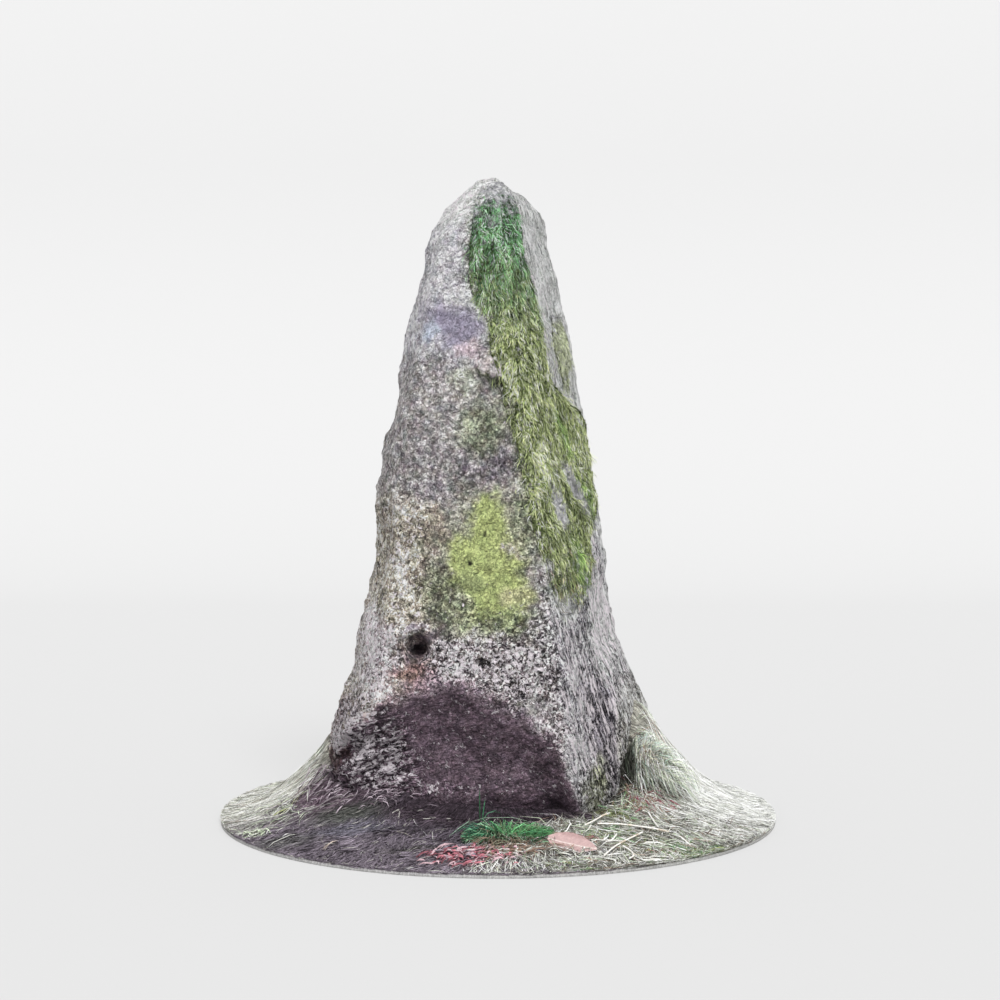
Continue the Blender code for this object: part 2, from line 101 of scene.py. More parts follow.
WEDGE_SHADOW_BROWN = srgb(58, 42, 43)
RUST = srgb(84, 55, 50)
WHITE_GREY = srgb(213, 216, 213)
RIGHT_GREY = srgb(176, 172, 179)
RIGHT_DARK = srgb(120, 115, 122)
PIT_SHADE_BLACK = srgb(24, 19, 21)

MOSS_DARK = srgb(58, 70, 38)
MOSS_OLIVE = srgb(172, 185, 128)
MOSS_BRIGHT = srgb(116, 158, 78)
MOSS_BLUISH = srgb(118, 170, 120)
MOSS_STRAW = srgb(224, 228, 204)
MOSS_MIST = srgb(216, 222, 226)
BARE_ROCK = srgb(236, 235, 242)

SOIL_DARK = srgb(94, 86, 95)
SOIL_GREY = srgb(124, 115, 125)
SOIL_PALE = srgb(176, 173, 168)
SOIL_STRAW = srgb(160, 158, 148)
SOIL_SHADE = srgb(72, 62, 70)
SOIL_MOSSY = srgb(84, 90, 80)
SOIL_BLUE = srgb(122, 123, 136)
SOIL_BLACK = srgb(58, 58, 52)
STRAW_PALE = srgb(238, 238, 230)
STRAW_GREY = srgb(206, 207, 198)
STRAW_DARK = srgb(124, 121, 114)
GRASS_PALE = srgb(200, 212, 186)
GRASS_GREEN = srgb(128, 168, 122)
TUFT_GREEN = srgb(66, 122, 90)
TUFT_DEEP = srgb(24, 52, 38)
TUFT_PALE = srgb(150, 196, 156)
LITTER_RED = srgb(196, 124, 136)
LITTER_PINK = srgb(200, 170, 177)
THATCH_BROWN = srgb(140, 118, 104)
RIM_PALE = srgb(228, 228, 225)
MOUND_GREEN = srgb(146, 156, 98)
TUSSOCK_TEAL = srgb(166, 190, 176)
BLEACHED_LIT_STRAW = srgb(244, 246, 240)
FLAKE_PINK = srgb(178, 165, 174)

LEAF_PINK = srgb(190, 162, 160)
LEAF_EDGE = srgb(168, 138, 136)
STALK_STRAW = srgb(240, 236, 228)
STALK_END = srgb(190, 172, 148)


# ---- small helpers ----
def smooth_step(t):
    t = np.clip(t, 0, 1)
    return t * t * (3 - 2 * t)


def rising(values, start, span):
    """0 up to the start, then up to 1 over the span."""
    return smooth_step((values - start) / span)


def falling(values, end, span):
    """1 at first, then down to 0 over the span before the end."""
    return smooth_step((end - values) / span)


def smooth_curve(knots, values, at):
    """A smooth line through unevenly spaced knots."""
    knots, values = np.asarray(knots, float), np.asarray(values, float)
    at = np.clip(at, knots[0], knots[-1])
    slopes = np.gradient(values, knots)
    i = np.clip(np.searchsorted(knots, at) - 1, 0, len(knots) - 2)
    span = knots[i + 1] - knots[i]
    t = (at - knots[i]) / span
    return (
        (2 * t**3 - 3 * t**2 + 1) * values[i]
        + (t**3 - 2 * t**2 + t) * span * slopes[i]
        + (3 * t**2 - 2 * t**3) * values[i + 1]
        + (t**3 - t**2) * span * slopes[i + 1]
    )


def noise_at(points, size, seed, octaves=3, roughness=0.8):
    """Soft noise from about -1 to 1, with lumps of that size."""
    offset = Vector((seed * 7.3, seed * 3.1, seed * 5.7))
    flat = points.reshape(-1, 3) / size
    values = [noise.fractal(Vector(p) + offset, roughness, 2.1, octaves) for p in flat]
    return np.array(values).reshape(points.shape[:-1])


def noise_vectors(points, size, seed, octaves=3):
    """Soft noise along each axis."""
    return np.stack([noise_at(points, size, seed + i, octaves) for i in range(3)], axis=-1)


def unit(vectors):
    return vectors / np.maximum(np.linalg.norm(vectors, axis=-1, keepdims=True), 1e-9)


def blend(base, over, amount):
    """Colours moved towards another by an amount from 0 to 1."""
    amount = np.asarray(np.clip(amount, 0, 1))[..., None]
    return base * (1 - amount) + over * amount


def points_and_normals(mesh):
    """A mesh's vertices and their normals, as arrays."""
    both = []
    for name in ("co", "normal"):
        flat = np.empty(len(mesh.vertices) * 3, np.float32)
        mesh.vertices.foreach_get(name, flat)
        both.append(flat.reshape(-1, 3).astype(float))
    return both


def set_points(mesh, points):
    mesh.vertices.foreach_set("co", points.astype(np.float32).ravel())
    mesh.update()


def set_attribute(mesh, name, values, kind="FLOAT", field="value"):
    """What a material reads by name at each vertex: a number, unless the kind says otherwise."""
    layer = mesh.attributes.new(name, kind, "POINT")
    layer.data.foreach_set(field, np.asarray(values, np.float32).ravel())


def set_vector(mesh, name, values):
    set_attribute(mesh, name, values, "FLOAT_VECTOR", "vector")


def set_colour(mesh, name, colours):
    opaque = np.ones((len(colours), 1))
    set_attribute(mesh, name, np.hstack((colours, opaque)), "FLOAT_COLOR", "color")


def add_piece(name, mesh, finish, replaced=()):
    mesh.materials.clear()
    mesh.materials.append(finish)
    piece = bpy.data.objects.new(name, mesh)
    bpy.context.scene.collection.objects.link(piece)
    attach(piece, "root")
    if replaced:
        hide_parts(*replaced)
    return piece


def remeshed(node, voxel, smoothing):
    """A fine even mesh of a CAD node with its facets smoothed out."""
    source = bpy.data.objects.new("remesh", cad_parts[node].data.copy())
    bpy.context.scene.collection.objects.link(source)
    remesh = source.modifiers.new("even", "REMESH")
    remesh.mode = "VOXEL"
    remesh.voxel_size = voxel
    relax = source.modifiers.new("relax", "SMOOTH")
    relax.iterations = smoothing
    relax.factor = 0.5
    graph = bpy.context.evaluated_depsgraph_get()
    mesh = bpy.data.meshes.new_from_object(source.evaluated_get(graph))
    bpy.data.objects.remove(source)
    mesh.shade_smooth()
    return mesh


def surface_tree(mesh):
    return BVHTree.FromPolygons([v.co for v in mesh.vertices], [p.vertices for p in mesh.polygons])


def nearest(tree, points):
    """The closest place on a surface to each point, its normal there and how far away it is."""
    places, normals, _, distances = zip(*(tree.find_nearest(Vector(p)) for p in points))
    return np.array(places), np.array(normals), np.array(distances)


# ---- materials ----
BASE_SPECULAR = 0.15
MOST_GAIN = 3.2             # no mark makes a colour more than this many times lighter
PALEST = 0.88               # and no colour gets lighter than this

# Marks drawn with noise about 0: (marks to a metre, strength, detail, roughness).
GRAINS = (240, 7.0, 3, 0.65)
BLOTCHES = (46, 6.0, 5, 0.7)
DRIFTS = (15, 3.5, 3, 0.6)
RUNS = (210, 11.0, 4, 0.7)
BEDS = (150, 9.0, 4, 0.7)
FINE_BEDS = (330, 8.0, 2, 0.6)
ROUND_CRACKS = (58, 1.0, 4, 0.7)
LONG_CRACKS = (75, 1.0, 4, 0.7)
SOIL_HAIRS = (290, 11.0, 3, 0.7)
SOIL_LOCKS = (70, 6.0, 3, 0.6)
SOIL_GRAINS = (170, 5.0, 4, 0.7)
SOIL_LUMPS = (45, 4.0, 4, 0.6)
FELT_THREADS = (330, 9.0, 3, 0.7)
FELT_LOCKS = (80, 5.0, 3, 0.6)
FELT_CURLS = (210, 5.0, 3, 0.7)

# Marks cut out of noise from 0 to 1: (marks to a metre, detail, roughness, distortion).
TINGES = (62, 3, 0.6, 0.0)
ROUND_SPECKS = (165, 2, 0.6, 0.0)
LONG_SPECKS = (150, 2, 0.6, 0.0)
ROUND_CHIPS = (95, 4, 0.7, 0.4)
LONG_CHIPS = (120, 4, 0.7, 0.0)
LEDGE_FLAKES = (150, 4, 0.65, 0.0)

CRYSTALS_TO_METRE = 185.0
BED_STRETCH = (4.2, 2.2, 1)
BED_TILT = 16               # degrees
SPECK_COLOUR = (*srgb(36, 31, 38), 1)
CHIP_COLOUR = (*srgb(250, 241, 247), 1)


class Shader:
    """A material whose nodes are added and linked in one call each."""

    def __init__(self, name, roughness):
        self.material = bpy.data.materials.new(name)
        self.material.use_nodes = True
        self.tree = self.material.node_tree
        self.surface = self.tree.nodes["Principled BSDF"]
        self.surface.inputs["Roughness"].default_value = roughness
        self.surface.inputs["Specular IOR Level"].default_value = BASE_SPECULAR

    def add(self, kind, settings=None, **inputs):
        """A node with its settings and its inputs, which are values or other nodes' outputs."""
        node = self.tree.nodes.new("ShaderNode" + kind)
        for key, value in (settings or {}).items():
            setattr(node, key, value)
        for key, value in inputs.items():
            socket = node.inputs[int(key[1:])] if key[1:].isdigit() else node.inputs[key.replace("_", " ")]
            self.put(value, socket)
        return node

    def put(self, value, socket):
        if isinstance(value, bpy.types.NodeSocket):
            self.tree.links.new(value, socket)
        else:
            socket.default_value = value

    def math(self, operation, first, second=0.0, third=0.0, clamp=False):
        settings = {"operation": operation, "use_clamp": clamp}
        return self.add("Math", settings, _0=first, _1=second, _2=third).outputs[0]

    def times(self, first, second):
        return self.math("MULTIPLY", first, second)

    def less(self, first, second):
        return self.math("SUBTRACT", first, second)

    def total(self, parts):
        whole = parts[0]
        for part in parts[1:]:
            whole = self.math("ADD", whole, part)
        return whole

    def spread(self, value, middle, gain):
        """The value about its middle, magnified."""
        return self.times(self.less(value, middle), gain)

    def over(self, value, level, gain):
        """0 where the value is below the level, 1 where it is well above."""
        return self.math("MULTIPLY", self.less(value, level), gain, clamp=True)

    def between(self, amount, first, second):
        """The first value where the amount is 0, the second where it is 1."""
        return self.add("Mix", {"data_type": "FLOAT"}, _0=amount, _2=first, _3=second).outputs[0]

    def mix(self, amount, first, second, kind="MIX"):
        settings = {"data_type": "RGBA", "blend_type": kind, "clamp_factor": True}
        return self.add("Mix", settings, _0=amount, _6=first, _7=second).outputs[2]

    def vector(self, operation, *values, **named):
        inputs = {f"_{i}": value for i, value in enumerate(values)}
        return self.add("VectorMath", {"operation": operation}, **inputs, **named).outputs[0]

    def attribute(self, name, output="Fac"):
        return self.add("Attribute", {"attribute_name": name}).outputs[output]

    def place(self, stretch=(1, 1, 1), tilt=0.0):
        """The point on the object, for a texture drawn out along axes that tilt up to the right."""
        where = self.add("TexCoord").outputs["Object"]
        turn = (0, -math.radians(tilt), 0)
        settings = {"vector_type": "TEXTURE"}
        return self.add("Mapping", settings, _0=where, Rotation=turn, Scale=stretch).outputs[0]

    def bend(self, where, scale, reach):
        """The place pushed about by soft noise."""
        push = self.noise(where, scale, 2, output="Color")
        moved = self.vector("MULTIPLY_ADD", push, (reach,) * 3, where)
        return self.vector("ADD", moved, (-reach / 2,) * 3)

    def noise(self, where, scale, detail, roughness=0.6, distortion=0.0, output="Fac"):
        settings = {"noise_dimensions": "3D"}
        texture = self.add("TexNoise", settings, Vector=where, Scale=scale, Detail=detail,
                           Roughness=roughness, Distortion=distortion)
        return texture.outputs[output]

    def grain(self, where, scale, gain, detail, roughness):
        """Noise about 0, magnified."""
        return self.spread(self.noise(where, scale, detail, roughness), 0.5, gain)

    def crystals(self, where, scale):
        """Cells, each of its own level from -1 to 1."""
        cells = self.add("TexVoronoi", {"feature": "F1"}, Vector=where, Scale=scale)
        return self.spread(self.add("SeparateColor", _0=cells.outputs["Color"]).outputs[0], 0.5, 2.0)

    def vary(self, colour, amount, parts):
        """The colour times e to the power of amount times the sum of parts, and that sum."""
        whole = self.total(parts)
        gain = self.math("MINIMUM", self.math("EXPONENT", self.times(whole, amount)), MOST_GAIN)
        varied = self.vector("SCALE", colour, Scale=gain)
        return self.vector("MINIMUM", varied, (PALEST,) * 3), whole

    def finish(self, colour, height, strength, depth):
        """The material, with this colour and a bump of that depth."""
        bump = self.add("Bump", Strength=strength, Distance=depth, Height=height)
        self.put(colour, self.surface.inputs["Base Color"])
        self.put(bump.outputs[0], self.surface.inputs["Normal"])
        return self.material


def dark_marks(shader, bent, flow, contrast, streaks):
    """Dark specks and cracks, which follow the flow where the stone is streaked."""
    specks = shader.between(streaks, shader.noise(bent, *ROUND_SPECKS), shader.noise(flow, *LONG_SPECKS))
    specks = shader.over(specks, shader.less(0.66, shader.times(contrast, 0.06)), 16.0)
    cracks = shader.between(streaks, shader.grain(bent, *ROUND_CRACKS), shader.grain(flow, *LONG_CRACKS))
    cracks = shader.less(1.0, shader.over(shader.math("ABSOLUTE", cracks), 0.006, 45.0))
    depth = shader.math("MINIMUM", shader.math("MULTIPLY_ADD", contrast, 0.40, 0.38), 0.95)
    return shader.times(shader.math("MAXIMUM", specks, shader.times(cracks, 0.8)), depth)


def bright_marks(shader, bent, flow, bedded, streaks, ledges):
    """Pale chips, which follow the flow where the stone is streaked, and flakes along its ledges."""
    chips = shader.between(streaks, shader.noise(bent, *ROUND_CHIPS), shader.noise(flow, *LONG_CHIPS))
    flakes = shader.total((shader.noise(bedded, *LEDGE_FLAKES), shader.spread(ledges, 1.25, 0.2)))
    rarity = shader.less(0.70, shader.times(shader.attribute("flecks"), 0.20))
    return shader.over(shader.math("MAXIMUM", chips, flakes), rarity, 20.0)


def stone_material():
    """Speckled granite: its colour and what marks it come from the mesh's attributes."""
    shader = Shader("granite_looks", 0.92)
    colour = shader.vector("SCALE", shader.attribute("zone", "Color"), Scale=1.25)
    contrast = shader.attribute("contrast")
    streaks = shader.attribute("streaks")
    ledges = shader.attribute("ledges")
    lively = shader.less(1.0, shader.attribute("calm"))
    where = shader.place()
    bent = shader.bend(where, 90, 0.014)
    flow = shader.bend(shader.attribute("flow", "Vector"), 50, 0.006)
    bedded = shader.bend(shader.place(BED_STRETCH, BED_TILT), 40, 0.010)

    crystals = shader.times(shader.crystals(bent, CRYSTALS_TO_METRE), lively)
    grains = shader.grain(bent, *GRAINS)
    blotches = shader.times(shader.grain(where, *BLOTCHES), lively)
    runs = shader.times(shader.grain(flow, *RUNS), streaks)
    beds = shader.total((shader.grain(bedded, *BEDS), shader.grain(bedded, *FINE_BEDS)))
    beds = shader.times(beds, ledges)
    parts = (crystals, grains, blotches, shader.grain(where, *DRIFTS), runs, beds)
    speckled = shader.vary(colour, contrast, parts)[0]
    tinge = shader.noise(where, *TINGES, output="Color")
    speckled = shader.mix(shader.times(lively, 0.28), speckled, tinge, "SOFT_LIGHT")
    dark = dark_marks(shader, bent, flow, contrast, streaks)
    bright = bright_marks(shader, bent, flow, bedded, streaks, ledges)
    speckled = shader.mix(dark, speckled, SPECK_COLOUR)
    speckled = shader.mix(shader.times(bright, 0.93), speckled, CHIP_COLOUR)
    parts = (crystals, shader.times(grains, 0.4), blotches, blotches, runs, beds, bright)
    relief = shader.less(shader.total(parts), shader.times(dark, 2.5))
    return shader.finish(speckled, relief, 1.0, 0.0013)


def soil_material():
    """Crumbly soil under dead grass that is combed along the mesh's own "comb" coordinates."""
    shader = Shader("soil_looks", 1.0)
    where = shader.place()
    combed = shader.bend(shader.attribute("comb", "Vector"), 14, 0.030)
    parts = (shader.grain(combed, *SOIL_HAIRS), shader.grain(combed, *SOIL_LOCKS),
             shader.grain(where, *SOIL_GRAINS), shader.grain(where, *SOIL_LUMPS))
    varied, height = shader.vary(shader.attribute("zone", "Color"), shader.attribute("contrast"), parts)
    return shader.finish(varied, height, 0.9, 0.0014)


def felt_material(name):
    """A felt of fine threads that wander down the stone, with dark gaps between them."""
    shader = Shader(name, 1.0)
    bent = shader.bend(shader.bend(shader.place(), 22, 0.060), 75, 0.016)
    hung = shader.add("Mapping", _0=bent, Scale=(1, 1, 0.2)).outputs[0]
    parts = (shader.grain(hung, *FELT_THREADS), shader.grain(hung, *FELT_LOCKS),
             shader.grain(bent, *FELT_CURLS))
    varied, height = shader.vary(shader.attribute("tint", "Color"), 0.50, parts)
    return shader.finish(varied, height, 1.0, 0.0018)


def blade_material(name, roughness=0.8, mottling=1.6):
    """Blades and strands, each of its own colour, a little mottled."""
    shader = Shader(name, roughness)
    mottles = (shader.grain(shader.place(), 260, mottling, 2, 0.6),)
    varied, height = shader.vary(shader.attribute("tint", "Color"), 1.0, mottles)
    return shader.finish(varied, height, 0.2, 0.0006)


# ---- the stone ----
def wandering(points, seed):
    """The points shifted by noise, so that shapes drawn on them have natural edges."""
    broad = noise_vectors(points, 0.060, seed)
    fine = noise_vectors(points, 0.014, seed + 3, 2)
    return points + 0.018 * broad + 0.008 * fine


def patch(points, x, z, half_width, half_height, tilt=0.0, edge=0.45):
    """How far inside an oval on the front each point is: 1 in the middle, 0 outside."""
    c, s = math.cos(math.radians(tilt)), math.sin(math.radians(tilt))
    dx, dz = points[:, 0] - x, points[:, 2] - z
    along = (dx * c + dz * s) / half_width
    across = (dz * c - dx * s) / half_height
    return smooth_step((1 + edge - np.hypot(along, across)) / (2 * edge))


def above(points, line, fade):
    """0 below a line of (x, height) across the front, 1 above it."""
    x, z = np.array(line).T
    return smooth_step((points[:, 2] - smooth_curve(x, z, points[:, 0])) / fade + 0.5)


ARCH = (
    (-0.34, 0.100), (-0.30, 0.165), (-0.24, 0.245), (-0.165, 0.285), (-0.06, 0.290),
    (0.02, 0.260), (0.08, 0.210), (0.12, 0.160), (0.145, 0.090), (0.165, 0.000),
)
RIDGE = (
    (0.0, 0.160), (0.27, 0.120), (0.45, 0.098), (0.66, 0.066), (0.86, 0.040), (1.05, 0.015), (1.29, -0.010),
)
# The yellow-green crust: (height, left edge, right edge).
CRUST = (
    (0.430, -0.030, 0.045), (0.455, -0.060, 0.070), (0.490, -0.088, 0.058), (0.530, -0.088, 0.033),
    (0.570, -0.075, 0.012), (0.605, -0.052, 0.004), (0.645, -0.034, -0.002), (0.662, -0.020, -0.010),
)
# Ovals of colour on the stone: (colour, amount, (across, height, half width, half height, tilt in degrees,
# softness of its edge), contrast of its marks, share of pale flecks). What isn't given stays as it is.
SCOOP = (-0.087, 0.985, 0.060, 0.040, -20)
FLAKY_FOOT = (-0.262, 0.165, 0.080, 0.12, 35)
UPPER_OVALS = (
    (PINK_GREY * 1.60, 0.90, (-0.255, 0.345, 0.060, 0.075, 10), 1.4, 1.05),
    (MIDDLE_GREY, 1.00, (-0.12, 0.80, 0.09, 0.09), 0.50, 0.35),
    (VIOLET_GREY, 0.90, SCOOP, 0.26, 0.1),
    (BLUE_GREY, 1.00, (-0.138, 0.970, 0.017, 0.024), 0.20, 0.0),
    (PINK_GREY, 0.80, (-0.045, 0.940, 0.030, 0.014, -15), 0.34, 0.2),
    (PALE_GREEN * 0.9, 0.50, (-0.070, 0.880, 0.030, 0.030), 0.4),
    (VIOLET_DARK, 0.80, (-0.020, 0.715, 0.060, 0.038, 15, 0.7), 0.70, 0.2),
    (VIOLET_DARK, 0.60, (-0.120, 0.655, 0.026, 0.032, 60, 0.7), 0.65, 0.2),
    (DARK_GREEN * 1.05, 0.70, (-0.035, 0.785, 0.055, 0.050, -30), 0.62, 0.3),
    (BROWN_GREY, 0.70, (-0.115, 0.585, 0.035, 0.045, 20), 0.55, 0.3),
    (PALE_GREEN, 0.45, (-0.290, 0.365, 0.030, 0.115, 8), 0.75, 0.5),
    (DARK_GREEN * 0.9, 0.75, (-0.085, 0.450, 0.060, 0.085, 20), 0.80, 0.35),
    (DARK_GREEN, 0.85, (0.000, 0.415, 0.072, 0.036, -14), 0.80, 0.45),
    (DARK_GREEN * 0.95, 0.70, (0.035, 0.570, 0.030, 0.085, -12), 0.78, 0.35),
    (CRUST_HALO, 0.55, (-0.030, 0.560, 0.085, 0.120, 0, 0.8), 0.5, 0.2),
)
LOWER_OVALS = (
    (TAN_CRUST, 0.90, (0.032, 0.462, 0.034, 0.022, -25), 0.40, 0.15),
    (CREAM * 1.25, 0.70, (0.024, 0.552, 0.020, 0.008, -24), 0.6, 0.8),
    (ROSE_GREY * 1.1, 1.00, (-0.01, 0.325, 0.19, 0.056, -4), 1.75, 0.90),
    (MIDDLE_GREY * 1.1, 1.00, (0.095, 0.42, 0.022, 0.110, -12), 1.6, 0.75),
    (ROSE_GREY * 1.55, 0.90, (0.118, 0.20, 0.034, 0.130, -20), 1.6, 0.95),
    (RUST, 0.80, (-0.165, 0.312, 0.050, 0.030), 0.75, 0.10),
)
RIGHT_OVALS = (
    (WHITE_GREY * 1.35, 0.90, (0.210, 0.390, 0.045, 0.090, 15), 1.10, 1.05),
    (RIGHT_DARK * 0.60, 0.95, (0.207, 0.19, 0.046, 0.13, 20), 2.6, 0.98),
    (RIGHT_GREY * 1.5, 0.85, (0.150, 0.210, 0.018, 0.130, 10), 1.4, 0.95),
    (VIOLET_DARK * 0.6, 0.80, (0.170, 0.405, 0.011, 0.055, 12), 1.6, 0.5),
    (GREEN_CRUST * 0.75, 0.60, (0.190, 0.085, 0.030, 0.050), 1.2, 0.5),
)
FOOT_OVALS = (
    (HOLLOW_BROWN * 0.55, 0.90, FLAKY_FOOT, 1.0, 1.06),
    (HOLLOW_BROWN * 0.8, 0.75, (-0.222, 0.232, 0.050, 0.024, 22), 0.6, 0.6),
    (HOLLOW_BROWN * 0.9, 0.80, (-0.112, 0.088, 0.050, 0.012, -8), 1.0, 1.0),
    (PINK_GREY * 1.2, 0.75, (-0.300, 0.190, 0.050, 0.012, 58), 1.1, 1.0),
    # painted shadow: a dark wedge under the ledge at the stone's left foot
    (WEDGE_SHADOW_BROWN, 0.90, (-0.312, 0.140, 0.034, 0.009, 50), 0.4, 0.1),
)
# The pit is painted dark, black in its middle: painted shade in its hole, below a pale lip.
PIT_OVALS = (
    (HOLLOW_BROWN * 0.75, 0.80, (-0.128, 0.383, 0.044, 0.017, 38, 0.7), 0.4, 0.1),
    (HOLLOW_BROWN * 0.55, 0.80, (-0.155, 0.356, 0.022, 0.020, 20, 0.7), 0.4, 0.0),
    (LIP_LILAC, 0.90, (-0.168, 0.391, 0.020, 0.007, 15, 0.4), 0.5, 0.3),
    (PIT_SHADE_BLACK, 1.00, (-0.155, 0.360, 0.014, 0.012, 25, 0.4), 0.3, 0.0),
)
# Two pinholes in the crust, and two pale knobs beside the moss: (across, height, size).
PINHOLES = ((-0.054, 0.526, 0.0050), (-0.025, 0.582, 0.0040))
KNOBS = ((-0.022, 0.908, 0.016), (-0.004, 0.886, 0.013))


def between_edges(points, lines, fade):
    """1 between the two edges given at each height, 0 outside them."""
    z, left, right = np.array(lines).T
    x, height = points[:, 0], points[:, 2]
    inside = np.minimum(x - np.interp(height, z, left), np.interp(height, z, right) - x)
    inside = np.minimum(inside, np.minimum(height - z[0], z[-1] - height))
    return smooth_step(inside / fade + 0.5)


def right_of_ridge(points, fade=0.03):
    """0 on the front face, 1 on the face to the right of the ridge."""
    z, x = np.array(RIDGE).T
    return smooth_step((points[:, 0] - smooth_curve(z, x, points[:, 2])) / fade + 0.5)


class Paint:
    """A mesh's colour, contrast and flecks at each point, laid on coat by coat."""

    def __init__(self, points, colour, contrast, flecks):
        self.points = points
        self.colour = np.tile(colour, (len(points), 1))
        self.contrast = np.full(len(points), contrast)
        self.flecks = np.full(len(points), flecks)

    def lay(self, over, amount, contrast=None, flecks=None):
        amount = np.clip(amount, 0, 1)
        self.colour = blend(self.colour, over, amount)
        if contrast is not None:
            self.contrast = self.contrast + (contrast - self.contrast) * amount
        if flecks is not None:
            self.flecks = self.flecks + (flecks - self.flecks) * amount

    def lay_ovals(self, ovals, where):
        for over, amount, oval, *marks in ovals:
            self.lay(over, amount * patch(self.points, *oval) * where, *marks)


def facing_front(normals):
    return rising(-normals[:, 1], -0.15, 0.4)


def paint_front(paint, points, front):
    """The front face and its yellow-green crust. What is returned is where the crust lies."""
    p, z = paint.points, paint.points[:, 2]
    paint.lay(UPPER_GREY, rising(z, 0.86, 0.12), 0.42, 0.35)
    paint.lay(LIGHT_GREY, rising(z, 1.17, 0.06), 0.30, 0.95)
    paint.lay(DARK_GREEN, 0.5 * rising(noise_at(points, 0.16, 20), 0.15, 0.35) * (1 - front))
    paint.lay(CREAM, falling(p[:, 0], -0.10, 0.06) * falling(z, 0.70, 0.1), 0.90, 0.6)
    paint.lay_ovals(UPPER_OVALS, front)
    crust = between_edges(wandering(points, 90) + (p - points), CRUST, 0.045)
    paint.lay(GREEN_CRUST, 1.10 * crust * front, 0.40, 0.1)
    paint.lay(DARK_GREEN * 0.9, 0.55 * patch(p, -0.060, 0.480, 0.030, 0.030) * front * crust, 0.55, 0.1)
    paint.lay_ovals(LOWER_OVALS, front)
    return crust


def paint_right(paint, points, right):
    """The streaked face right of the ridge, paler at the top and far edge, partly as painted light."""
    z = paint.points[:, 2]
    far_edge = 0.205 - (z - 0.5) * 0.25
    bank = rising(points[:, 0], 0.225, 0.030) * falling(points[:, 2], 0.330, 0.080)
    paint.lay(RIGHT_GREY, right, 1.55, 0.92)
    paint.lay(WHITE_GREY * 1.2, right * rising(z, 0.72, 0.12), 0.75, 0.8)
    paint.lay(WHITE_GREY, 0.8 * right * rising(points[:, 0], far_edge, 0.03), 0.40, 0.4)
    paint.lay_ovals(RIGHT_OVALS, right)
    paint.lay(SOIL_STRAW * 1.1, 0.65 * right * bank, 1.1, 0.5)


def paint_details(paint, points):
    """The pit and its lip, the pinholes and the knobs."""
    paint.lay_ovals(PIT_OVALS, 1)
    # The pinholes are painted black: painted shade in holes the mesh doesn't cut.
    for x, height, size in PINHOLES:
        paint.lay(PIT_SHADE_BLACK, patch(points, x, height, size, size), 0.2, 0.0)
    for x, height, size in KNOBS:
        shadow = patch(points, x, height - 0.004, size * 1.4, size * 1.4, 0, 0.15)
        paint.lay(DARK_GREEN * 0.45, 0.85 * shadow, 0.4)
        paint.lay(KNOB_PALE, patch(paint.points, x, height, size, size, 0, 0.2), 0.30, 0.1)


def stone_zones(points, normals, to_moss):
    """The stone's colour, and the strength of each kind of mark by name, at each point."""
    p = wandering(points, 10)
    z = p[:, 2]
    front = facing_front(normals)
    right = right_of_ridge(p) * rising(normals[:, 0], -0.1, 0.3)
    inside = (1 - above(p, ARCH, 0.050)) * front * (1 - 0.9 * right)
    foot = patch(p, *FLAKY_FOOT) * front
    scoop = patch(p, *SCOOP) * front

    paint = Paint(p, MIDDLE_GREY, 0.55, 0.35)
    crust = paint_front(paint, points, front)
    paint_right(paint, points, right)
    # Dark green along the moss's edge: partly a stain, partly painted shade beside the moss.
    paint.lay(DARK_GREEN * 0.8, 0.8 * np.exp(-to_moss / 0.010) * (1 - 0.8 * right), 0.8, 0.3)
    paint.lay(WHITE_GREY, bareness(p) * falling(to_moss, 0.020, 0.015), 0.50, 0.5)
    # Under the arch the stone is painted purplish brown: partly its own colour, partly painted shade in the
    # recess.
    paint.lay(HOLLOW_BROWN, inside, 0.50, 0.42)
    paint.lay(HOLLOW_BROWN * 1.5, 1.6 * inside * (1 - inside), 1.1, 0.95)
    paint.lay_ovals(FOOT_OVALS, front)
    # Painted shadow: the front darkens towards its foot, where it meets the ground.
    paint.lay(FOOT_SHADOW_DARK, front * (1 - right * 0.6) * falling(z, 0.085, 0.05), 0.50, 0.3)
    paint_details(paint, points)
    return paint.colour, {
        "contrast": paint.contrast,
        "streaks": right * (0.75 + 0.35 * rising(z, 0.7, 0.2)),
        "flecks": paint.flecks,
        "ledges": np.clip(foot + 0.45 * inside, 0, 1),
        "calm": np.clip(0.65 * inside + 0.55 * crust + 0.7 * scoop + 0.5 * right, 0, 0.9),
    }


def flow_coordinates(points):
    """Coordinates drawn out 6 times along lines that lean out towards the foot, for its streaks."""
    x, y, z = points.T
    lean = 0.20 * z - 0.30 * np.maximum(0, 0.5 - z) ** 2
    return np.stack((x + lean, y, z / 6), axis=-1)


STONE_VOXEL = 0.0056
STAIN_AND_SHADE_REACH = 0.06          # distances from the moss are measured up to this
LEDGE_NORMAL = (-0.30, 0.25, 0.92)
LEDGE_PITCH = 0.019
LEDGE_DEPTH = 0.0085
HOLLOW_PITCH = 0.009        # finer ledges inside the hollow
HOLLOW_DEPTH = 0.0020
PIT_DEPTH = 0.010
KNOB_RISE = 0.004
CAVITY = 0.004              # lumps that high or deep take the full shade
CAVITY_SHADE = 0.22


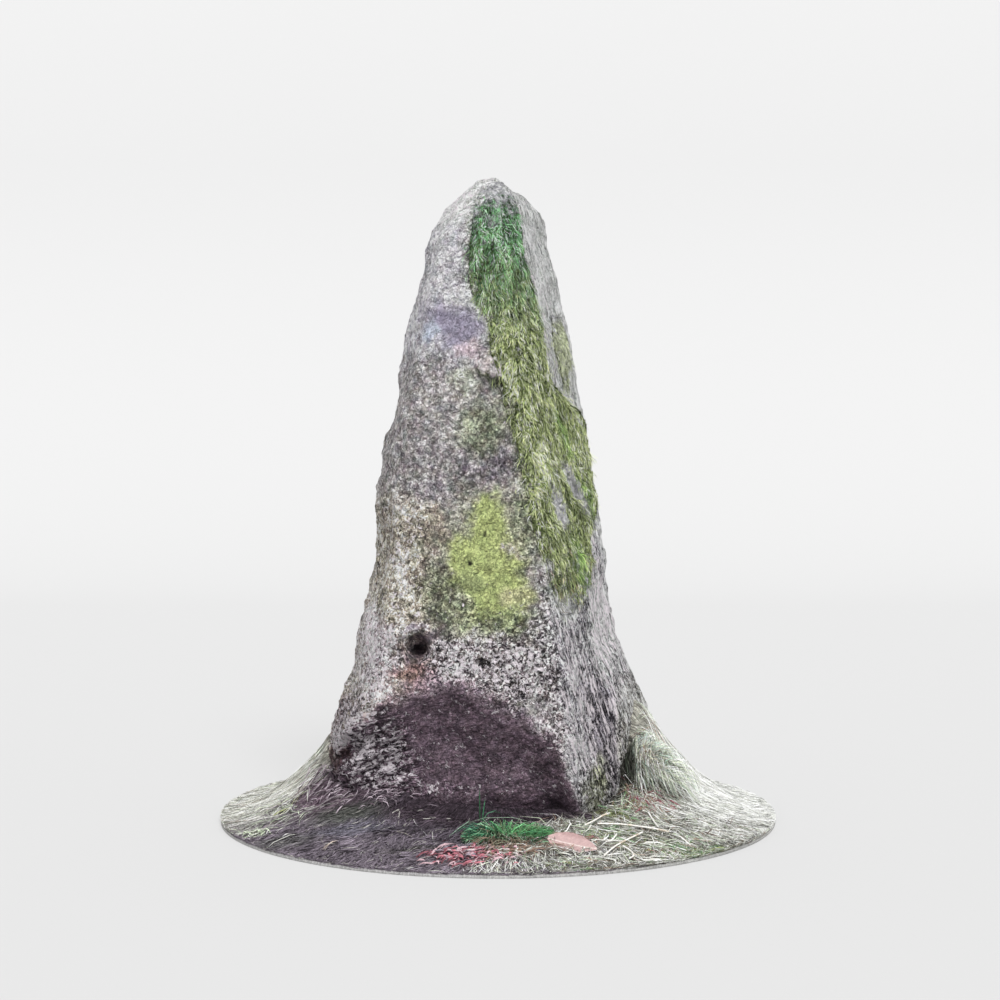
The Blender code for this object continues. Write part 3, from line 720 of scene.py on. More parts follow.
def stone_relief(points, normals):
    """How far the surface stands out: in lumps alone, and with its ledges, pit and knobs."""
    front = facing_front(normals)
    hollow = (1 - above(points, ARCH, 0.03)) * front
    lumps = 0.0030 * noise_at(points, 0.055, 30) + 0.0020 * noise_at(points, 0.022, 31)
    lumps = lumps + 0.0018 * noise_at(points, 0.010, 32, 2)
    layers = points @ unit(np.array(LEDGE_NORMAL)) + 0.008 * noise_at(points, 0.05, 33)
    flaky = patch(points, -0.27, 0.16, 0.10, 0.11, 35) * front
    ledges = LEDGE_DEPTH * ((layers / LEDGE_PITCH) % 1.0 - 0.5) * flaky
    ledges += HOLLOW_DEPTH * ((layers / HOLLOW_PITCH) % 1.0 - 0.5) * hollow
    details = -PIT_DEPTH * patch(points, -0.157, 0.362, 0.016, 0.015) * front
    for x, height, size in KNOBS:
        details += KNOB_RISE * patch(points, x, height, size, size, 0, 0.5) * front
    return lumps, (lumps + ledges + details) * rising(points[:, 2], 0, 0.02)


def build_stone():
    mesh = remeshed("standing_stone", STONE_VOXEL, 4)
    points, normals = points_and_normals(mesh)
    moss_tree = surface_tree(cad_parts["moss_curtain"].data)
    found = [moss_tree.find_nearest(Vector(p), STAIN_AND_SHADE_REACH)[3] for p in points]
    to_moss = np.array([STAIN_AND_SHADE_REACH if distance is None else distance for distance in found])
    lumps, out = stone_relief(points, normals)
    points = points + normals * out[:, None]
    set_points(mesh, points)
    colour, marks = stone_zones(points, normals, to_moss)
    # darker in the hollows between the lumps and lighter on their tops: painted shade and painted light
    set_colour(mesh, "zone", colour * (1 + CAVITY_SHADE * np.clip(lumps / CAVITY, -1, 1))[:, None])
    for name, strength in marks.items():
        set_attribute(mesh, name, strength)
    set_vector(mesh, "flow", flow_coordinates(points))
    add_piece("stone_surface", mesh, stone_material(), ["standing_stone"])
    return mesh


# ---- ribbons: blades of grass and strands of moss ----
RIBBON_STEPS = (0.0, 0.33, 0.67, 1.0)       # where a line's points are, as shares of its length
RIBBON_TAPER = (0.75, 1.0, 0.75)            # width at the root and at the next points
RIBBON_SHADE = (0.32, 0.80, 1.05, 1.14)     # darker towards the root
ARCH_SPAN = 0.85 * math.pi                  # how much of an arch a line makes by its tip
ROOT_DEPTH = 0.003                          # how far a blade starts below the ground


def ribbon_mesh(name, lines, across, widths, tints):
    """Tapering ribbons, each along a line of three or four points, each of its own colour."""
    count, steps = lines.shape[:2]
    sides = steps - 1
    half = across[:, None, :] * widths[:, None, None] / 2 * np.array(RIBBON_TAPER[:sides])[None, :, None]
    points = np.empty((count, 2 * sides + 1, 3))
    points[:, 0:-1:2] = lines[:, :-1] - half
    points[:, 1:-1:2] = lines[:, :-1] + half
    points[:, -1] = lines[:, -1]
    pattern, starts = [], []
    for i in range(sides - 1):
        starts.append(len(pattern))
        pattern += [2 * i, 2 * i + 1, 2 * i + 3, 2 * i + 2]
    starts.append(len(pattern))
    pattern += [2 * sides - 2, 2 * sides - 1, 2 * sides]
    corners = np.arange(count)[:, None] * (2 * sides + 1) + np.array(pattern)
    firsts = np.arange(count)[:, None] * len(pattern) + np.array(starts)
    mesh = bpy.data.meshes.new(name)
    mesh.vertices.add(points.shape[0] * points.shape[1])
    mesh.loops.add(corners.size)
    mesh.polygons.add(firsts.size)
    mesh.vertices.foreach_set("co", points.astype(np.float32).ravel())
    mesh.loops.foreach_set("vertex_index", corners.astype(np.int32).ravel())
    mesh.polygons.foreach_set("loop_start", firsts.astype(np.int32).ravel())
    mesh.update(calc_edges=True)
    mesh.shade_smooth()
    shade = np.repeat(RIBBON_SHADE[:steps], 2)[:-1]
    set_colour(mesh, "tint", (tints[:, None, :] * shade[None, :, None]).reshape(-1, 3))
    return mesh


def palette_tints(rng, count, colours, shares, spread):
    """Colours drawn from a palette by their shares, each a little lighter or darker."""
    pick = rng.choice(len(colours), count, p=np.array(shares) / sum(shares))
    return np.array(colours)[pick] * np.exp(rng.normal(0, spread, (count, 1)))


# ---- moss ----
# Where the moss is worn through, and where it has fresh green streaks:
# (across, height, half length, half width, tilt in degrees).
BARE_GAPS = (
    (0.121, 0.632, 0.048, 0.011, -72), (0.158, 0.664, 0.064, 0.010, -62), (0.140, 0.700, 0.020, 0.006, -62),
    (0.112, 1.030, 0.020, 0.026, 0), (-0.014, 1.190, 0.012, 0.006, -70), (0.024, 1.215, 0.010, 0.005, -60),
    (0.0, 1.240, 0.008, 0.004, -60), (-0.030, 1.150, 0.008, 0.004, -80), (0.078, 0.905, 0.007, 0.005, -70),
)
MOSS_GREENS = (
    (0.178, 0.655, 0.036, 0.010, -66), (0.163, 0.520, 0.050, 0.012, -74), (0.128, 0.780, 0.045, 0.007, -70),
)
OLIVES = ((MOSS_OLIVE, MOSS_DARK, MOSS_STRAW), (0.60, 0.24, 0.16), 0.38)
BLUES = ((MOSS_BLUISH, MOSS_DARK, MOSS_MIST), (0.60, 0.26, 0.14), 0.38)
BROWNS = ((MOSS_OLIVE, MOSS_DARK, THATCH_BROWN, MOSS_STRAW), (0.30, 0.52, 0.12, 0.06), 0.50)

MAT_VOXEL = 0.0032
MAT_SINK = 0.004            # the mat lies this far inside the CAD form, and its strands reach out of it
STRAND_LENGTHS = (0.009, 0.028)
STRAND_WIDTHS = (0.0005, 0.0011)
STRAND_ROOT = 0.0015        # how deep a strand starts in the mat
STRAND_LIFTS = (-0.0005, 0.0045)
STRAND_DROOP = (0.16, 0, -1.0)
STRAND_ROLL = 0.8           # radians
STRAY_SHARE = 0.16          # strands that grow on the stone beside the mat
STRAY_REACH = 0.009
OFF_STONE = 0.001           # nothing grows nearer to the stone's surface than this


def bareness(points):
    """1 where the moss is worn through, 0 where it is whole."""
    bare = np.zeros(len(points))
    jagged = points + 0.007 * noise_vectors(points, 0.009, 33, 2)
    for gap in BARE_GAPS:
        bare = np.maximum(bare, patch(jagged, *gap, 0.5))
    worn = smooth_step((points[:, 2] - 1.185) / 0.085 + 0.8 * noise_at(points, 0.010, 48))
    hanging = noise_at(points * (1, 1, 0.22), 0.011, 47)
    frayed = smooth_step((0.530 - points[:, 2]) / 0.110 + 0.8 * hanging) * 0.9
    return np.clip(np.maximum(bare, np.maximum(worn, frayed)), 0, 1)


def moss_tint(points, rng):
    """A colour for each strand: bluish at the top, olive below, straw and dark ones between."""
    count = len(points)
    z = points[:, 2] + 0.03 * noise_at(points, 0.05, 40) + 0.04 * noise_at(points, 0.012, 37, 2)
    hung = points * (1, 1, 0.4)
    olive, blue, brown = (palette_tints(rng, count, *palette) for palette in (OLIVES, BLUES, BROWNS))
    pale = falling(z, 0.80, 0.06) * rising(z, 0.60, 0.06)
    tint = olive * (1 + 0.35 * pale)[:, None]
    tint = blend(tint, blue, smooth_step((z - 1.06) / 0.22 + 0.5))
    tint = blend(tint, brown, 0.8 * falling(z, 0.58, 0.08))
    for streak in MOSS_GREENS:
        green = patch(points, *streak, 0.8)
        green = green * np.clip(0.7 + 0.8 * noise_at(points, 0.012, 39), 0, 1)
        tint = blend(tint, MOSS_BRIGHT * np.exp(rng.normal(0, 0.45, (count, 1))), 0.7 * green)
    drift = 0.9 * noise_at(hung, 0.018, 41) + 0.4 * noise_at(hung, 0.045, 38)
    lighter = np.exp(0.70 * np.clip(noise_at(hung, 0.008, 42), -1, 1) + drift + 0.15)
    return tint * lighter[:, None]


def sample_surface(mesh, keep, count, rng):
    """Points and normals spread evenly over the kept triangles of a mesh."""
    mesh.calc_loop_triangles()
    corners = np.empty(len(mesh.loop_triangles) * 3, np.int32)
    mesh.loop_triangles.foreach_get("vertices", corners)
    corners = corners.reshape(-1, 3)
    corners = corners[keep[corners].all(axis=1)]
    points, normals = points_and_normals(mesh)
    a, b, c = (points[corners[:, i]] for i in range(3))
    areas = np.linalg.norm(np.cross(b - a, c - a), axis=1)
    chosen = rng.choice(len(corners), count, p=areas / areas.sum())
    u, v = rng.random((2, count, 1))
    flip = (u + v) > 1
    u, v = np.where(flip, 1 - u, u), np.where(flip, 1 - v, v)
    spots = a[chosen] + u * (b[chosen] - a[chosen]) + v * (c[chosen] - a[chosen])
    return spots, unit(normals[corners[chosen]].mean(axis=1))


def build_mat(node, name, paler, stone_tree, rng):
    """The lumpy mat under the strands. What is returned is its mesh and which of its points face out."""
    mesh = remeshed(node, MAT_VOXEL, 3)
    points, normals = points_and_normals(mesh)
    outward, depth = nearest(stone_tree, points)[1:]
    outer = (normals * outward).sum(axis=1) > 0.2
    edge = np.clip((0.016 - depth) / 0.010, 0, 1)
    lumps = 0.0040 * noise_at(points, 0.024, 43) + 0.0020 * noise_at(points, 0.007, 44, 2)
    ragged = edge * np.clip(1 + 2.4 * noise_at(points, 0.026, 45), 0, 2.2)
    sink = MAT_SINK + 0.010 * bareness(points) + 0.009 * ragged
    points = points + outward * (outer * (lumps - sink))[:, None]
    set_points(mesh, points)
    tint = blend(moss_tint(points, rng) * 0.75, MOSS_DARK, 0.35)
    tint = blend(tint, MOSS_STRAW, paler)
    set_colour(mesh, "tint", blend(tint, BARE_ROCK, bareness(points)))
    add_piece(name + "_mat", mesh, felt_material(name + "_mat_looks"), [node])
    return mesh, outer


def strand_lines(roots, facing, heading, length, side, rng):
    """Each strand's four points: it arches out, and sways and curls sideways."""
    count = len(roots)
    lift = rng.uniform(*STRAND_LIFTS, count)
    curl = (0.5 * noise_at(roots, 0.012, 49) + rng.normal(0, 0.20, count)) * length
    lines = np.empty((count, len(RIBBON_STEPS), 3))
    for i, t in enumerate(RIBBON_STEPS):
        rise = lift * math.sin(ARCH_SPAN * t) - STRAND_ROOT
        drawn = roots + heading * (length * t)[:, None]
        sway = curl * t * t + 0.004 * t * noise_at(drawn, 0.012, 50, 2)
        lines[:, i] = drawn + facing * rise[:, None] + side * sway[:, None]
    return lines


def build_moss(node, name, strands, paler, seed, stone_tree):
    """A mat of moss with its hanging strands, in place of its CAD form."""
    rng = np.random.default_rng(seed)
    mesh, outer = build_mat(node, name, paler, stone_tree, rng)
    roots, facing = sample_surface(mesh, outer, strands, rng)
    strayed = rng.random(strands) < STRAY_SHARE
    stray = rng.normal(0, STRAY_REACH, (strands, 3)) * strayed[:, None]
    on_stone, stone_facing = nearest(stone_tree, roots + stray)[:2]
    from_stone = ((roots + stray - on_stone) * stone_facing).sum(axis=1)
    off = strayed | (from_stone < OFF_STONE)
    roots = np.where(off[:, None], on_stone + OFF_STONE * facing, roots)
    length = rng.uniform(*STRAND_LENGTHS, strands)
    swirl = noise_vectors(roots, 0.030, 46)
    down = np.array(STRAND_DROOP) + 0.75 * swirl + rng.normal(0, 0.12, (strands, 3))
    heading = unit(down - facing * (down * facing).sum(axis=1)[:, None])
    middle = roots + heading * (0.5 * length)[:, None]
    keep = rng.random(strands) > 0.95 * np.maximum(bareness(roots), bareness(middle))
    keep &= ~(off & ~strayed)
    roots, facing, heading, length = (values[keep] for values in (roots, facing, heading, length))
    count = len(roots)
    side = np.cross(heading, facing)
    lines = strand_lines(roots, facing, heading, length, side, rng)
    roll = rng.uniform(-STRAND_ROLL, STRAND_ROLL, count)[:, None]
    across = side * np.cos(roll) + facing * np.sin(roll)
    widths = rng.uniform(*STRAND_WIDTHS, count)
    tints = blend(moss_tint(roots, rng), MOSS_STRAW, paler)
    strands_mesh = ribbon_mesh(name + "_strands", lines, across, widths, tints)
    add_piece(name + "_strands", strands_mesh, blade_material(name + "_strand_looks"))


# ---- turf ----
TURF_COLUMNS = 540
TURF_RINGS = 96
TURF_INNER = 0.10
RIM_FADE = 0.012
RIM_BEVEL = 0.0035          # the height at the rim is read this far inside it
RAY_HEIGHT = 0.5
RIM_HEIGHT = 0.02           # taken at the rim where a ray down misses the CAD form's top
LOWEST_HIT = 0.004
ROOT_MARGIN = 0.004         # no blade grows nearer to the rim than this
LITTER_MARGIN = 0.01
PAST_RIM = 0.0005           # how far a blade's tip may pass the rim
LEAF_SPOT = (0.134, -0.430, 0.052, 0.028, 0.2)  # where the leaf lies, as a spot with a hard edge
COMBED_BLADES = 38000
TANGLED_BLADES = 13000
SOIL_FIBRES = 14000
# Where fresh green grows through the tangle: (share, across, along, half width, half depth).
GREEN_SPOTS = (
    (1.0, 0.185, -0.335, 0.05, 0.04), (1.0, 0.33, -0.40, 0.09, 0.045),
    (0.8, 0.07, -0.52, 0.06, 0.02), (1.2, 0.25, -0.205, 0.05, 0.03),
)
# Spots of colour on the ground: (colour, amount, across, along, half width, half depth).
SOIL_SPOTS = (
    (HOLLOW_BROWN * 1.1, 1.00, -0.310, -0.130, 0.090, 0.080),
    (SOIL_MOSSY, 0.70, -0.270, -0.225, 0.075, 0.035),
    (SOIL_BLUE, 0.50, -0.265, -0.300, 0.070, 0.035),
    (SOIL_BLACK, 0.75, -0.150, -0.415, 0.065, 0.014),
    (SOIL_MOSSY, 0.50, -0.380, -0.330, 0.060, 0.040),
)
# On the rest of the ground the black spots, under the front tuft and in the right bank's hollow, are
# painted shade.
GROUND_SPOTS = (
    (THATCH_BROWN, 0.80, 0.035, -0.468, 0.075, 0.025),
    (LITTER_RED * 0.75, 0.75, -0.06, -0.455, 0.06, 0.035),
    (LITTER_PINK * 0.8, 0.50, -0.06, -0.510, 0.07, 0.020),
    (SOIL_BLACK * 0.7, 0.90, 0.010, -0.370, 0.085, 0.050),
    (MOUND_GREEN, 0.90, 0.250, -0.205, 0.050, 0.030),
    (SOIL_BLACK * 0.7, 0.90, 0.252, -0.105, 0.022, 0.065),
    (SOIL_BLACK, 0.40, 0.300, -0.125, 0.030, 0.030),
)
# Spots where the blades of the right bank and of the front tuft take another colour; the near-black
# one is painted shade in the right bank's hollow.
BANK_SHADES = (
    (srgb(196, 216, 208), 0.80, 0.300, -0.050, 0.030, 0.018),
    (srgb(160, 124, 110), 0.60, 0.292, -0.094, 0.018, 0.012),
    (srgb(76, 80, 56), 0.70, 0.296, -0.134, 0.022, 0.013),
    (srgb(34, 36, 28), 0.95, 0.256, -0.104, 0.015, 0.052),
)
FRONT_SHADES = (
    (srgb(100, 160, 104), 0.75, 0.044, -0.372, 0.040, 0.020),
    (srgb(74, 128, 108), 0.50, -0.040, -0.345, 0.040, 0.025),
    (THATCH_BROWN * 0.8, 0.80, -0.010, -0.415, 0.080, 0.014),
)


class Ground:
    """The turf's surface as heights on a polar grid."""

    def __init__(self):
        self.radii = TURF_INNER + (TURF_RADIUS - TURF_INNER) * np.linspace(0, 1, TURF_RINGS) ** 0.92
        self.turns = np.linspace(-math.pi, math.pi, TURF_COLUMNS, endpoint=False)
        tree = surface_tree(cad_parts["turf_round"].data)
        down = Vector((0, 0, -1))
        heights = np.zeros((TURF_COLUMNS, TURF_RINGS))
        for i, turn in enumerate(self.turns):
            held = RIM_HEIGHT
            for j in range(TURF_RINGS - 1, -1, -1):     # inwards, as a miss takes the height outside it
                reach = min(self.radii[j], TURF_RADIUS - RIM_BEVEL)
                start = Vector((reach * math.cos(turn), reach * math.sin(turn), RAY_HEIGHT))
                hit = tree.ray_cast(start, down)[0]
                held = hit.z if hit is not None and hit.z > LOWEST_HIT else held
                heights[i, j] = held
        self.heights = heights
        self.x = self.radii[None, :] * np.cos(self.turns)[:, None]
        self.y = self.radii[None, :] * np.sin(self.turns)[:, None]

    def roughen(self):
        """Crumbs and lumps of soil and combed ridges, fading out at the rim."""
        blank = 0 * self.x
        flat = np.stack((self.x, self.y, self.heights), axis=-1)
        around = self.turns[:, None] * 0.45 + blank
        inward = 0.12 * self.radii[None, :] + blank
        ridges = noise_at(np.stack((around, inward, blank), axis=-1), 0.011, 52)
        bump = 0.0045 * noise_at(flat, 0.045, 50) + 0.0020 * noise_at(flat, 0.014, 51)
        bump = bump + 0.0022 * ridges * rising(self.heights, 0.05, 0.06)
        self.heights = self.heights + bump * falling(self.radii, TURF_RADIUS, RIM_FADE)[None, :]

    def height(self, x, y):
        """The surface's height at any points, between the grid's own."""
        radius = np.clip(np.hypot(x, y), self.radii[0], self.radii[-1])
        j = np.clip(np.searchsorted(self.radii, radius) - 1, 0, TURF_RINGS - 2)
        t = (radius - self.radii[j]) / (self.radii[j + 1] - self.radii[j])
        turn = (np.arctan2(y, x) + math.pi) / (2 * math.pi) * TURF_COLUMNS
        i = np.floor(turn).astype(int) % TURF_COLUMNS
        s = turn - np.floor(turn)
        k = (i + 1) % TURF_COLUMNS
        near = self.heights[i, j] * (1 - s) + self.heights[k, j] * s
        far = self.heights[i, j + 1] * (1 - s) + self.heights[k, j + 1] * s
        return near * (1 - t) + far * t

    def normal(self, x, y):
        step = 0.004
        slope_x = (self.height(x + step, y) - self.height(x - step, y)) / (2 * step)
        slope_y = (self.height(x, y + step) - self.height(x, y - step)) / (2 * step)
        return unit(np.stack((-slope_x, -slope_y, np.ones_like(slope_x)), axis=-1))


def spot(x, y, at_x, at_y, half_x, half_y, edge=0.5):
    """1 in the middle of an oval on the ground, 0 outside."""
    return smooth_step((1 + edge - np.hypot((x - at_x) / half_x, (y - at_y) / half_y)) / (2 * edge))


def sector(x, y, middle, half, fade):
    """1 within half an angle of a bearing in degrees, 0 outside."""
    off = np.abs((np.degrees(np.arctan2(y, x)) - middle + 180) % 360 - 180)
    return smooth_step((half - off) / fade + 0.5)


def foot_shade(x, y):
    """How near the ground is to the stone's front foot, where shade is painted: 1 there, 0 away."""
    return sector(x, y, -90, 46, 18) * smooth_step((0.345 - np.hypot(x, y)) / 0.05)


def kept_clear(x, y):
    """1 under the leaf and at the dark foot of the stone's front, where no loose blades lie."""
    return np.maximum(spot(x, y, *LEAF_SPOT), foot_shade(x, y))


def painted(colours, x, y, spots):
    """The colours changed where each spot lies."""
    for over, amount, *oval in spots:
        colours = blend(colours, over, amount * spot(x, y, *oval))
    return colours


def shaded(tints, x, y, spots, rng):
    """Blades' colours changed where each spot lies, each blade a little differently."""
    for over, amount, *oval in spots:
        varied = over * np.exp(rng.normal(0, 0.3, (len(x), 1)))
        tints = blend(tints, varied, amount * spot(x, y, *oval))
    return tints


def bare_soil(x, y):
    """How bare the ground is: 1 over the soil in front and to the left of the stone."""
    front = sector(x, y, -114, 44, 22) * (1 - 0.4 * sector(x, y, -85, 10, 12))
    return np.maximum(front, spot(x, y, -0.340, -0.125, 0.060, 0.055))


def soil_tint(x, y):
    """The bare soil's colour: purplish grey with dark, mossy and bluish patches; painted shade by the
    stone.
    """
    colour = np.tile(SOIL_GREY, (len(x), 1))
    colour = blend(colour, SOIL_DARK, falling(np.hypot(x, y), 0.44, 0.1))
    return blend(painted(colour, x, y, SOIL_SPOTS), SOIL_SHADE, foot_shade(x, y))


def comb_coordinates(points):
    """Coordinates drawn out 7 times along the slope, for streaks that run down it."""
    turn = np.arctan2(points[:, 1], points[:, 0])
    radius = np.hypot(points[:, 0], points[:, 1])
    return np.stack((0.40 * np.cos(turn), 0.40 * np.sin(turn), radius / 7), axis=-1)


def ground_zones(points):
    """The soil's colour and contrast at each point."""
    p = points + 0.02 * noise_vectors(points, 0.06, 60)
    x, y = p[:, 0], p[:, 1]
    radius = np.hypot(x, y)
    colour = np.tile(SOIL_STRAW, (len(points), 1))
    colour = blend(colour, SOIL_PALE, sector(x, y, -172, 22, 20) * rising(radius, 0.38, 0.1))
    colour = blend(colour, SOIL_PALE, 0.8 * sector(x, y, 0, 28, 20) * rising(radius, 0.42, 0.08))
    # Dark ground under the front-right tangle: painted shade between its blades.
    colour = blend(colour, STRAW_DARK * 0.42, sector(x, y, -50, 28, 16))
    colour = blend(colour, soil_tint(x, y), np.maximum(bare_soil(x, y), foot_shade(x, y)))
    colour = painted(colour, x, y, GROUND_SPOTS)
    # The rim's wall is painted pale: painted light, so that it shows no shade against the floor.
    edge = np.hypot(points[:, 0], points[:, 1]) > TURF_RADIUS - 0.001
    wall = edge * np.where(points[:, 2] < 0.001, 1.0, 0.5)
    return blend(colour, RIM_PALE, 0.9 * wall), 0.5 * (1 - 0.9 * edge)


def build_turf(ground):
    """The round of soil: its rough top, its rim and its flat underside."""
    rows = np.stack((ground.x, ground.y, ground.heights), axis=-1)
    count = TURF_COLUMNS * TURF_RINGS
    points = rows.reshape(-1, 3)
    foot = rows[:, -1].copy()
    foot[:, 2] = 0
    points = np.concatenate((points, foot, [(0, 0, 0)]))
    i = np.arange(TURF_COLUMNS)
    k = (i + 1) % TURF_COLUMNS
    faces = []
    for j in range(TURF_RINGS - 1):
        a, b = i * TURF_RINGS + j, k * TURF_RINGS + j
        faces += np.stack((a, a + 1, b + 1, b), axis=1).tolist()
    rim, next_rim = i * TURF_RINGS + TURF_RINGS - 1, k * TURF_RINGS + TURF_RINGS - 1
    faces += np.stack((rim, count + i, count + k, next_rim), axis=1).tolist()
    faces += np.stack((count + k, count + i, np.full(TURF_COLUMNS, count + TURF_COLUMNS)), axis=1).tolist()
    faces.append((k * TURF_RINGS)[::-1].tolist())
    mesh = bpy.data.meshes.new("turf_surface")
    mesh.from_pydata(points.tolist(), [], faces)
    mesh.update()
    mesh.shade_smooth()
    colour, contrast = ground_zones(points)
    set_colour(mesh, "zone", colour)
    set_attribute(mesh, "contrast", contrast)
    set_vector(mesh, "comb", comb_coordinates(points))
    add_piece("turf_surface", mesh, soil_material(), ["turf_round"])


def scattered(ground, count, density, rng, stone_tree, inner=0.20):
    """Roots spread over the ground by a density of 0 to 1, none of them inside the stone."""
    radius = np.sqrt(rng.uniform(inner**2, (TURF_RADIUS - ROOT_MARGIN) ** 2, count * 6))
    turn = rng.uniform(-math.pi, math.pi, count * 6)
    x, y = radius * np.cos(turn), radius * np.sin(turn)
    chosen = rng.random(len(x)) < density(x, y)
    x, y = x[chosen], y[chosen]
    z = ground.height(x, y)
    clear = []
    for point in np.stack((x, y, z), axis=1).tolist():
        near, facing = stone_tree.find_nearest(point)[:2]
        clear.append((Vector(point) - near).dot(facing) > OFF_STONE)
    clear = np.array(clear)
    return x[clear][:count], y[clear][:count]


def lying_lines(ground, x, y, turn, rng, lengths, curl, arches, lifts, scale=1.0, bend=0.0):
    """Lines of four points that follow the ground from each root and end at the rim.

    Lengths, arches and lifts are drawn from their ranges, and the curl is drawn about the bend.
    """
    count = len(x)
    length = rng.uniform(*lengths, count) * scale
    curls = bend + rng.normal(0, curl, count)
    arch = rng.uniform(*arches, count)
    lift = rng.uniform(*lifts, count)
    lines = np.empty((count, len(RIBBON_STEPS), 3))
    for i, t in enumerate(RIBBON_STEPS):
        bearing = turn + curls * t
        px = x + np.cos(bearing) * length * t
        py = y + np.sin(bearing) * length * t
        pull = np.minimum(1, (TURF_RADIUS + PAST_RIM) / np.hypot(px, py))
        px, py = px * pull, py * pull
        lines[:, i, 0] = px
        lines[:, i, 1] = py
        lines[:, i, 2] = ground.height(px, py) + lift + arch * math.sin(ARCH_SPAN * t)
    lines[:, 0, 2] -= ROOT_DEPTH
    return lines


def flat_across(ground, lines, rng, most):
    """The direction across each line that lies on the ground, rolled a little."""
    heading = unit(lines[:, 3] - lines[:, 0])
    facing = ground.normal(lines[:, 0, 0], lines[:, 0, 1])
    side = unit(np.cross(heading, facing))
    roll = rng.uniform(-most, most, len(lines))[:, None]
    return side * np.cos(roll) + facing * np.sin(roll)


def add_blades(name, ground, lines, roll, widths, tints, rng, replaced=()):
    """A piece of blades along the lines, of widths drawn from a range."""
    across = flat_across(ground, lines, rng, roll)
    mesh = ribbon_mesh(name, lines, across, rng.uniform(*widths, len(lines)), tints)
    add_piece(name, mesh, blade_material(name + "_looks"), replaced)


def build_combed(ground, stone_tree):
    """Long pale grass combed down the banks, all round except over the bare soil."""
    rng = np.random.default_rng(71)

    def density(x, y):
        cover = np.clip(1.0 - 1.05 * bare_soil(x, y), 0.004, 1)
        return cover * np.clip(1 - 0.6 * sector(x, y, -55, 20, 20), 0, 1) * (1 - kept_clear(x, y))

    x, y = scattered(ground, COMBED_BLADES, density, rng, stone_tree)
    count = len(x)
    radius = np.hypot(x, y)
    flat = np.stack((x, y, 0 * x), axis=-1)
    sway = 0.45 * noise_at(flat, 0.07, 75) + 0.30 * noise_at(flat, 0.022, 36)
    turn = np.arctan2(y, x) + 0.10 + sway + rng.normal(0, 0.18, count)
    shorter = np.where(radius > 0.48, 0.5, 1.0)
    lines = lying_lines(ground, x, y, turn, rng, (0.035, 0.125), 0.25, (0.000, 0.006), (0, 0.0035),
                        shorter, 0.5 * noise_at(flat, 0.03, 76))
    colours = (STRAW_GREY, STRAW_PALE, STRAW_DARK, GRASS_PALE, GRASS_GREEN, THATCH_BROWN)
    tints = palette_tints(rng, count, colours, (0.36, 0.20, 0.24, 0.13, 0.01, 0.04), 0.32)
    drifts = 0.35 * noise_at(flat, 0.035, 77) + 0.35 * noise_at(flat, 0.010, 35, 2)
    tints = tints * np.exp(drifts)[:, None]
    tints = blend(tints, SOIL_GREY * 1.15, 0.45 * sector(x, y, -156, 8, 16))
    straw = STRAW_PALE * np.exp(rng.normal(0, 0.40, (count, 1)))
    tints = blend(tints * 1.15, straw, 0.4 * sector(x, y, 178, 16, 16))
    # Lighter towards the right bank: partly pale straw, partly painted light for the shade on its steep
    # slope.
    tints = tints * (1 + 0.30 * sector(x, y, 0, 30, 20))[:, None]
    bleached_lit = BLEACHED_LIT_STRAW * np.exp(rng.normal(0, 0.25, (count, 1)))
    tints = blend(tints, bleached_lit, 0.80 * rising(radius, 0.26, 0.10) * sector(x, y, 8, 42, 25))
    tints = shaded(tints, x, y, BANK_SHADES, rng)
    add_blades("combed_grass", ground, lines, 0.7, (0.0008, 0.0017), tints, rng)


def build_tangle(ground, stone_tree):
    """Short grass and straw lying every way at the front right."""
    rng = np.random.default_rng(72)

    def density(x, y):
        return sector(x, y, -50, 28, 16) * rising(np.hypot(x, y), 0.27, 0.05) * (1 - kept_clear(x, y))

    x, y = scattered(ground, TANGLED_BLADES, density, rng, stone_tree)
    count = len(x)
    flat = np.stack((x, y, 0 * x), axis=-1)
    turn = 3.0 * noise_at(flat, 0.05, 78) + rng.normal(0, 0.6, count)
    lines = lying_lines(ground, x, y, turn, rng, (0.020, 0.080), 1.1, (0.000, 0.006), (0, 0.003))
    colours = (STRAW_GREY, STRAW_PALE, STRAW_DARK, GRASS_PALE, THATCH_BROWN)
    tints = palette_tints(rng, count, colours, (0.22, 0.22, 0.36, 0.10, 0.10), 0.42) * 0.88
    green = np.zeros(count)
    for share, *oval in GREEN_SPOTS:
        green = np.maximum(green, share * spot(x, y, *oval))
    fresh = palette_tints(rng, count, (GRASS_GREEN, GRASS_PALE, MOUND_GREEN), (0.35, 0.35, 0.3), 0.25)
    tints = np.where((rng.random(count) < 0.65 * green)[:, None], fresh, tints)
    tints = tints * np.exp(0.45 * noise_at(flat, 0.022, 79) - 0.08)[:, None]
    add_blades("tangled_grass", ground, lines, 0.8, (0.0009, 0.0018), tints, rng)


def build_fibres(ground, stone_tree):
    """Short dark fibres over the bare soil."""
    rng = np.random.default_rng(74)
    x, y = scattered(ground, SOIL_FIBRES, lambda x, y: bare_soil(x, y) * 0.9, rng, stone_tree, 0.26)
    count = len(x)
    flat = np.stack((x, y, 0 * x), axis=-1)
    turn = 0.6 * np.arctan2(y, x) - 1.1 + 0.9 * noise_at(flat, 0.08, 80) + rng.normal(0, 0.25, count)
    lines = lying_lines(ground, x, y, turn, rng, (0.012, 0.045), 0.25, (0, 0.003), (-0.001, 0.002))
    tints = soil_tint(x, y) * np.exp(rng.normal(0, 0.22, (count, 1)))
    tints = np.where((rng.random(count) < 0.05)[:, None], SOIL_PALE, tints)
    tints = tints * np.exp(0.45 * noise_at(flat, 0.04, 83) + 0.3 * noise_at(flat, 0.012, 86))[:, None]
    add_blades("soil_fibres", ground, lines, 0.8, (0.0009, 0.0022), tints, rng)


